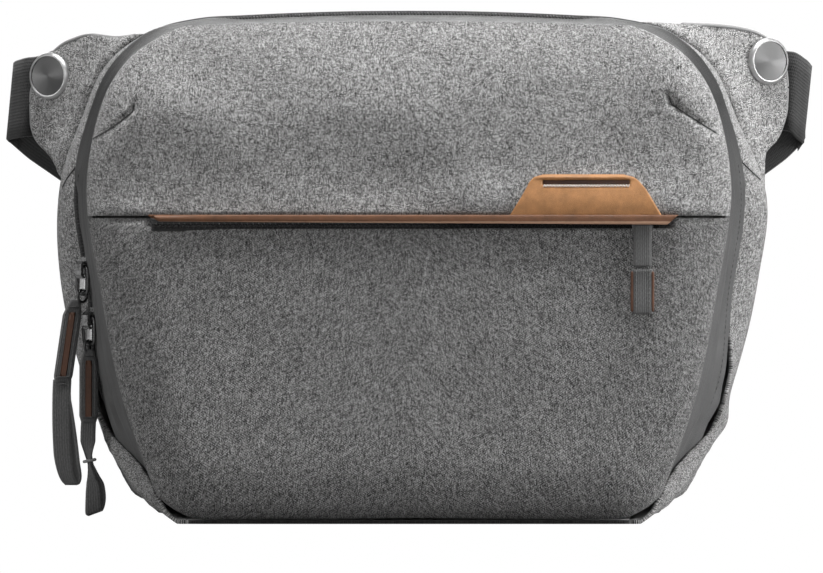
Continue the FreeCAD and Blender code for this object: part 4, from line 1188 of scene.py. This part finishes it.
# Each side's held end: its middle's height as it leaves the wing, then round the fold, and
# how far it leans along the way.
FOLD_ENDS = {
    "left": ((203.5, 202.6, 200.3, 198.7), (198.2, 197.4, 196.8, 196.4, 195.2, 192.4),
             (0, 0.03, 0.08, 0.10, 0.16)),
    "right": ((209.5, 208.3, 204.4, 201.6), (200.6, 197.6, 195.6, 194.8, 193.8, 191.6),
              (0, -0.04, -0.13, -0.10, 0.1)),
}
FOLD_PLAN = np.array([(180.6, 54.6), (184.6, 57.8), (187.0, 61.0), (187.3, 63.4), (185.4, 64.9),
                      (181.5, 65.2)])
LEG = np.array([
    (186.6, 64.6, 196.2), (183.5, 65.4, 193.8), (176, 65.0, 188), (163, 63.4, 179),
    (150, 61.5, 170), (136, 59.4, 159.6), (122, 57.4, 149.4), (110, 56.3, 141.6),
    (100, 56, 138.4), (88, 56, 138)])


def strap_ends():
    """Each end comes out from behind its wing, folds, and runs down behind the bag."""
    for word, (held, folded, leans) in FOLD_ENDS.items():
        side = WINGS[word]["side"]
        points = np.vstack([on_wing(side, np.array([50, 58, 66, 72]), 6.1, held),
                            xyz(side * FOLD_PLAN[:, 0], FOLD_PLAN[:, 1], folded)])
        lean = np.interp(np.linspace(0, 1, 70), [0, 0.5, 0.72, 0.86, 1], leans)
        fold = ribbon(f"{word}_strap_fold_cloth", smooth_line(points, 70),
                      unit(xyz(side * -lean, 0, 1)) * STRAP_WIDE, 1.6, STRAP, None)
        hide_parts(f"{word}_strap_end")
        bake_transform(fold)
        path = smooth_line(LEG * [side, 1, 1], 110)
        run = unit(np.gradient(path, axis=0))
        cross = unit([0, 0, 1] - 0.35 * run * run[:, 2:])
        if side > 0:
            cross[:, 0] += 0.17 * np.exp(-np.linspace(0, 8, 110))
        wide = np.interp(np.linspace(0, 1, 110), [0, 0.12, 1], [35.5, STRAP_WIDE, 38])[:, None]
        ribbon(f"{word}_strap_leg_cloth", path, cross * wide, 1.5, STRAP, "strap",
               [f"{word}_strap_leg"], "strap_webbing")


def strap_middle():
    """The webbing across the back, its pad, and the adjuster's tab."""
    ribbon("strap_centre_cloth", xyz(np.linspace(-100, 100, 60), 56, STRAP_Z), [0, 0, 37.8], 1.6,
           STRAP, "strap", ["strap_webbing"], "strap_webbing")
    for word, low_y, high_y, nodes in (("rear", 56.6, 60.9, ["strap_pad"]),
                                       ("front", 51.4, 55.4, [])):
        pad = soft_block(f"strap_pad_{word}", (-96, low_y, 114), (36, high_y, 162), PAD, "strap",
                         nodes, "strap_pad_fabric", 0.8, 1.9, (34, 2, 14), 1.2)
    c, s = np.cos(turns(130)), np.sin(turns(130))
    c, s = np.sign(c) * np.abs(c) ** 0.22, np.sign(s) * np.abs(s) ** 0.22
    tube("strap_pad_binding", xyz(-30 + c * 65.4, 56, STRAP_Z + s * 23.4), 1.5, BASE, "strap",
         closed=True)
    stitches("strap_pad_stitches", xyz(-30 + c * 60.4, 60.75, STRAP_Z + s * 18.4), THREAD, "strap")
    for x in (-96.5, 36.5):
        stitches(f"strap_tack_{int(x > 0)}", xyz(x, 56.95, np.linspace(121, 155, 20)), THREAD,
                 "strap", 2.2)
    ribbon("adjuster_tab_cloth", xyz(np.linspace(93.2, 106, 14), 62.4, STRAP_Z), [0, 0, 13.8], 1.4,
           PULL, "adjuster_lever", ["adjuster_pull_tab"], "pull_webbing")
    for end, x in enumerate((95.5, 103.5)):
        stitches(f"adjuster_tab_stitches_{end}", xyz(x, 63.15, np.linspace(132, 144, 10)), THREAD,
                 "adjuster_lever", 2.0)


# ---- inside -----------------------------------------------------------------------------------------

def node_box(name):
    return [np.array(corner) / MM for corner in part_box(name)]


def dividers():
    for word in ("left", "right"):
        for node, body, tall in ((f"{word}_divider", f"{word}_divider", 26),
                                 (f"{word}_divider_flap", f"{word}_flap", 8)):
            low, top = node_box(node)
            pad = soft_block(f"{node}_pad", low + 0.1, top - 0.1, DIVIDER, body, [node],
                             "divider_fabric", 0.9, 2.4, (3, 16, tall), 1.0)
            for end, x in enumerate((low[0] - 0.05, top[0] + 0.05)):
                stitches(f"{node}_stitches_{end}",
                         xyz(x, np.linspace(low[1] + 4, top[1] - 4, 30), top[2] - 4), THREAD, body)


def sleeve():
    """A sagging cloth pocket against the back, with a bound top."""
    low, top = node_box("tablet_sleeve")
    x, z = np.meshgrid(np.linspace(low[0], top[0], 60), np.linspace(low[2], top[2], 50))
    sag = 0.9 * np.sin(math.pi * (x - low[0]) / (top[0] - low[0]))
    sheet_piece("sleeve_cloth", xyz(x, 34.2 - sag * (z - low[2]) / 166, z), LINING, "rear_body",
                ["tablet_sleeve"], "lining", thick=1.1)
    tube("sleeve_hem", xyz(x[0], 33.9 - sag[0], top[2]), 1.1, BASE, "rear_body")


def paddings():
    """Quilted lining over the back's and the front's foam."""
    for node, body, line, near, far in (
            ("back_padding", "rear_body", moved(BACK, -5.6), 40.2, 45.6),
            ("front_padding", "front_cover", moved(FRONT, -7.6), -48.9, -45.2)):
        base = node_box(node)[0][2] + 1
        x, z, share = panel(base, line[:, 1].max() - 3, 60, 50, line)
        swell = rounded(np.clip(np.minimum(border_distance(x, z, line), z - base) / 3, 0, 1))
        quilt = np.abs(np.sin(x / 32 * math.pi)) ** 0.35 * np.abs(np.sin(z / 40 * math.pi)) ** 0.35
        half, middle = (far - near) / 2 * swell, (near + far) / 2
        sheets = [xyz(x, middle - half * (0.72 + 0.28 * quilt), z), xyz(x, middle + half, z)]
        points = np.concatenate([sheet.reshape(-1, 3) for sheet in sheets])
        faces = grid_faces(*x.shape) + grid_faces(*x.shape, start=x.size, flip=True)
        if body == "front_cover":
            points[:, 1] = 2 * middle - points[:, 1]
            faces = [face[::-1] for face in faces]
        pad = piece(f"{node}_quilt", points, faces, LINING, body, [node], "foam", points[:, ::2])


def organiser():
    x, z = np.meshgrid(np.linspace(-103.6, 103.6, 50), np.linspace(20.4, 103.4, 30))
    sheet_piece("organiser_cloth", xyz(x, -52.2 + 0.25 * np.sin(x / 11), z), LINING, "front_cover",
                ["pocket_organiser"], "lining", thick=0.5)


# ---- hardware that keeps its CAD shape ------------------------------------------------------------

def dress_nodes():
    for look, names in (
            (SLIDER, ("upper_slider", "lower_slider", "zip_end_stops")),
            (DARK_METAL, ("pocket_slider",)),
            (STEEL, ("left_anchor_post", "right_anchor_post", "left_anchor_washer",
                     "right_anchor_washer", "adjuster_frame", "adjuster_pin", "adjuster_lever"))):
        for name in names:
            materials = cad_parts[name].data.materials
            materials.clear()
            materials.append(look)


# ---- floor, light and camera ----------------------------------------------------------------

WORLD = 0.16
# Each light: its place, its two sizes and its power.
LIGHTS = {
    "key": ((0.25, -0.5, 2.5), (0.9, 0.5), 76),
    "front": ((0.5, -3.2, 0.7), (1.2, 1.2), 15),
    "right_strip": ((1.8, -0.4, 0.5), (0.4, 1.6), 45),
    "left_strip": ((-1.8, -0.5, 0.8), (0.3, 1.4), 12),
    "rear": ((0.0, 1.8, 1.0), (1.6, 0.8), 24),
}
DISTANCE, SPAN, SENSOR = 4.5, 0.3785, 36


def placed(name, data):
    item = bpy.data.objects.new(name, data)
    scene.collection.objects.link(item)
    return item


def floor():
    look = Look("studio_floor", Roughness=0.9)
    look.colour(look.mix(look.noise(look.place(), 400.0), grey(0.16), grey(0.18)))
    seen = look.node("LightPath", out="Is Camera Ray")
    both = look.node("MixShader", i0=seen, i1=Wire(look, look.shader.outputs[0]),
                     i2=look.node("Emission", Strength=1.0))
    look.put(look.tree.nodes["Material Output"].inputs["Surface"], both)
    wide = 6000
    piece("floor", [(-wide, -wide, -0.6), (wide, -wide, -0.6), (wide, wide, -0.6),
                             (-wide, wide, -0.6)], [(0, 1, 2, 3)], look.material, None)


def backdrop():
    """Soft even light, behind which the camera sees white."""
    scene.world = bpy.data.worlds.new("studio")
    scene.world.use_nodes = True
    tree = scene.world.node_tree
    white = tree.nodes["Background"]
    soft = tree.nodes.new("ShaderNodeBackground")
    for node, strength in ((white, 1.0), (soft, WORLD)):
        node.inputs["Color"].default_value = (1, 1, 1, 1)
        node.inputs["Strength"].default_value = strength
    path = tree.nodes.new("ShaderNodeLightPath")
    choice = tree.nodes.new("ShaderNodeMixShader")
    for output, target in ((path.outputs["Is Camera Ray"], choice.inputs[0]),
                           (soft.outputs[0], choice.inputs[1]),
                           (white.outputs[0], choice.inputs[2]),
                           (choice.outputs[0], tree.nodes["World Output"].inputs[0])):
        tree.links.new(output, target)


def lamps():
    for name, (place, size, power) in LIGHTS.items():
        data = bpy.data.lights.new(name, "AREA")
        data.shape = "RECTANGLE"
        data.size, data.size_y = size
        data.energy = power
        lamp = placed(name, data)
        lamp.location = place
        lamp.rotation_mode = "QUATERNION"
        lamp.rotation_quaternion = (Vector((0, 0, 0.12)) - Vector(place)).to_track_quat("-Z", "Y")


def camera():
    data = bpy.data.cameras.new("camera")
    data.sensor_width = SENSOR
    data.lens = SENSOR * DISTANCE / SPAN
    data.clip_start, data.clip_end = 0.05, 60
    scene.camera = placed("camera", data)
    scene.camera.location = (0.0012, -DISTANCE - 0.05, 0.1092)
    scene.camera.rotation_euler = (math.radians(90), 0, 0)
    scene.view_settings.view_transform = "Standard"


# ---- assembling ---------------------------------------------------------------------------

front_panels()
gusset()
main_zip()
rear_shell()
back_panel()
wings()
discs()
side_seams()
welt()
tab()
pocket_zip()
pocket_pull()
main_pulls()
upper_loop()
lower_loop()
strap_ends()
strap_middle()
dividers()
sleeve()
paddings()
organiser()
dress_nodes()
floor()
backdrop()
lamps()
camera()
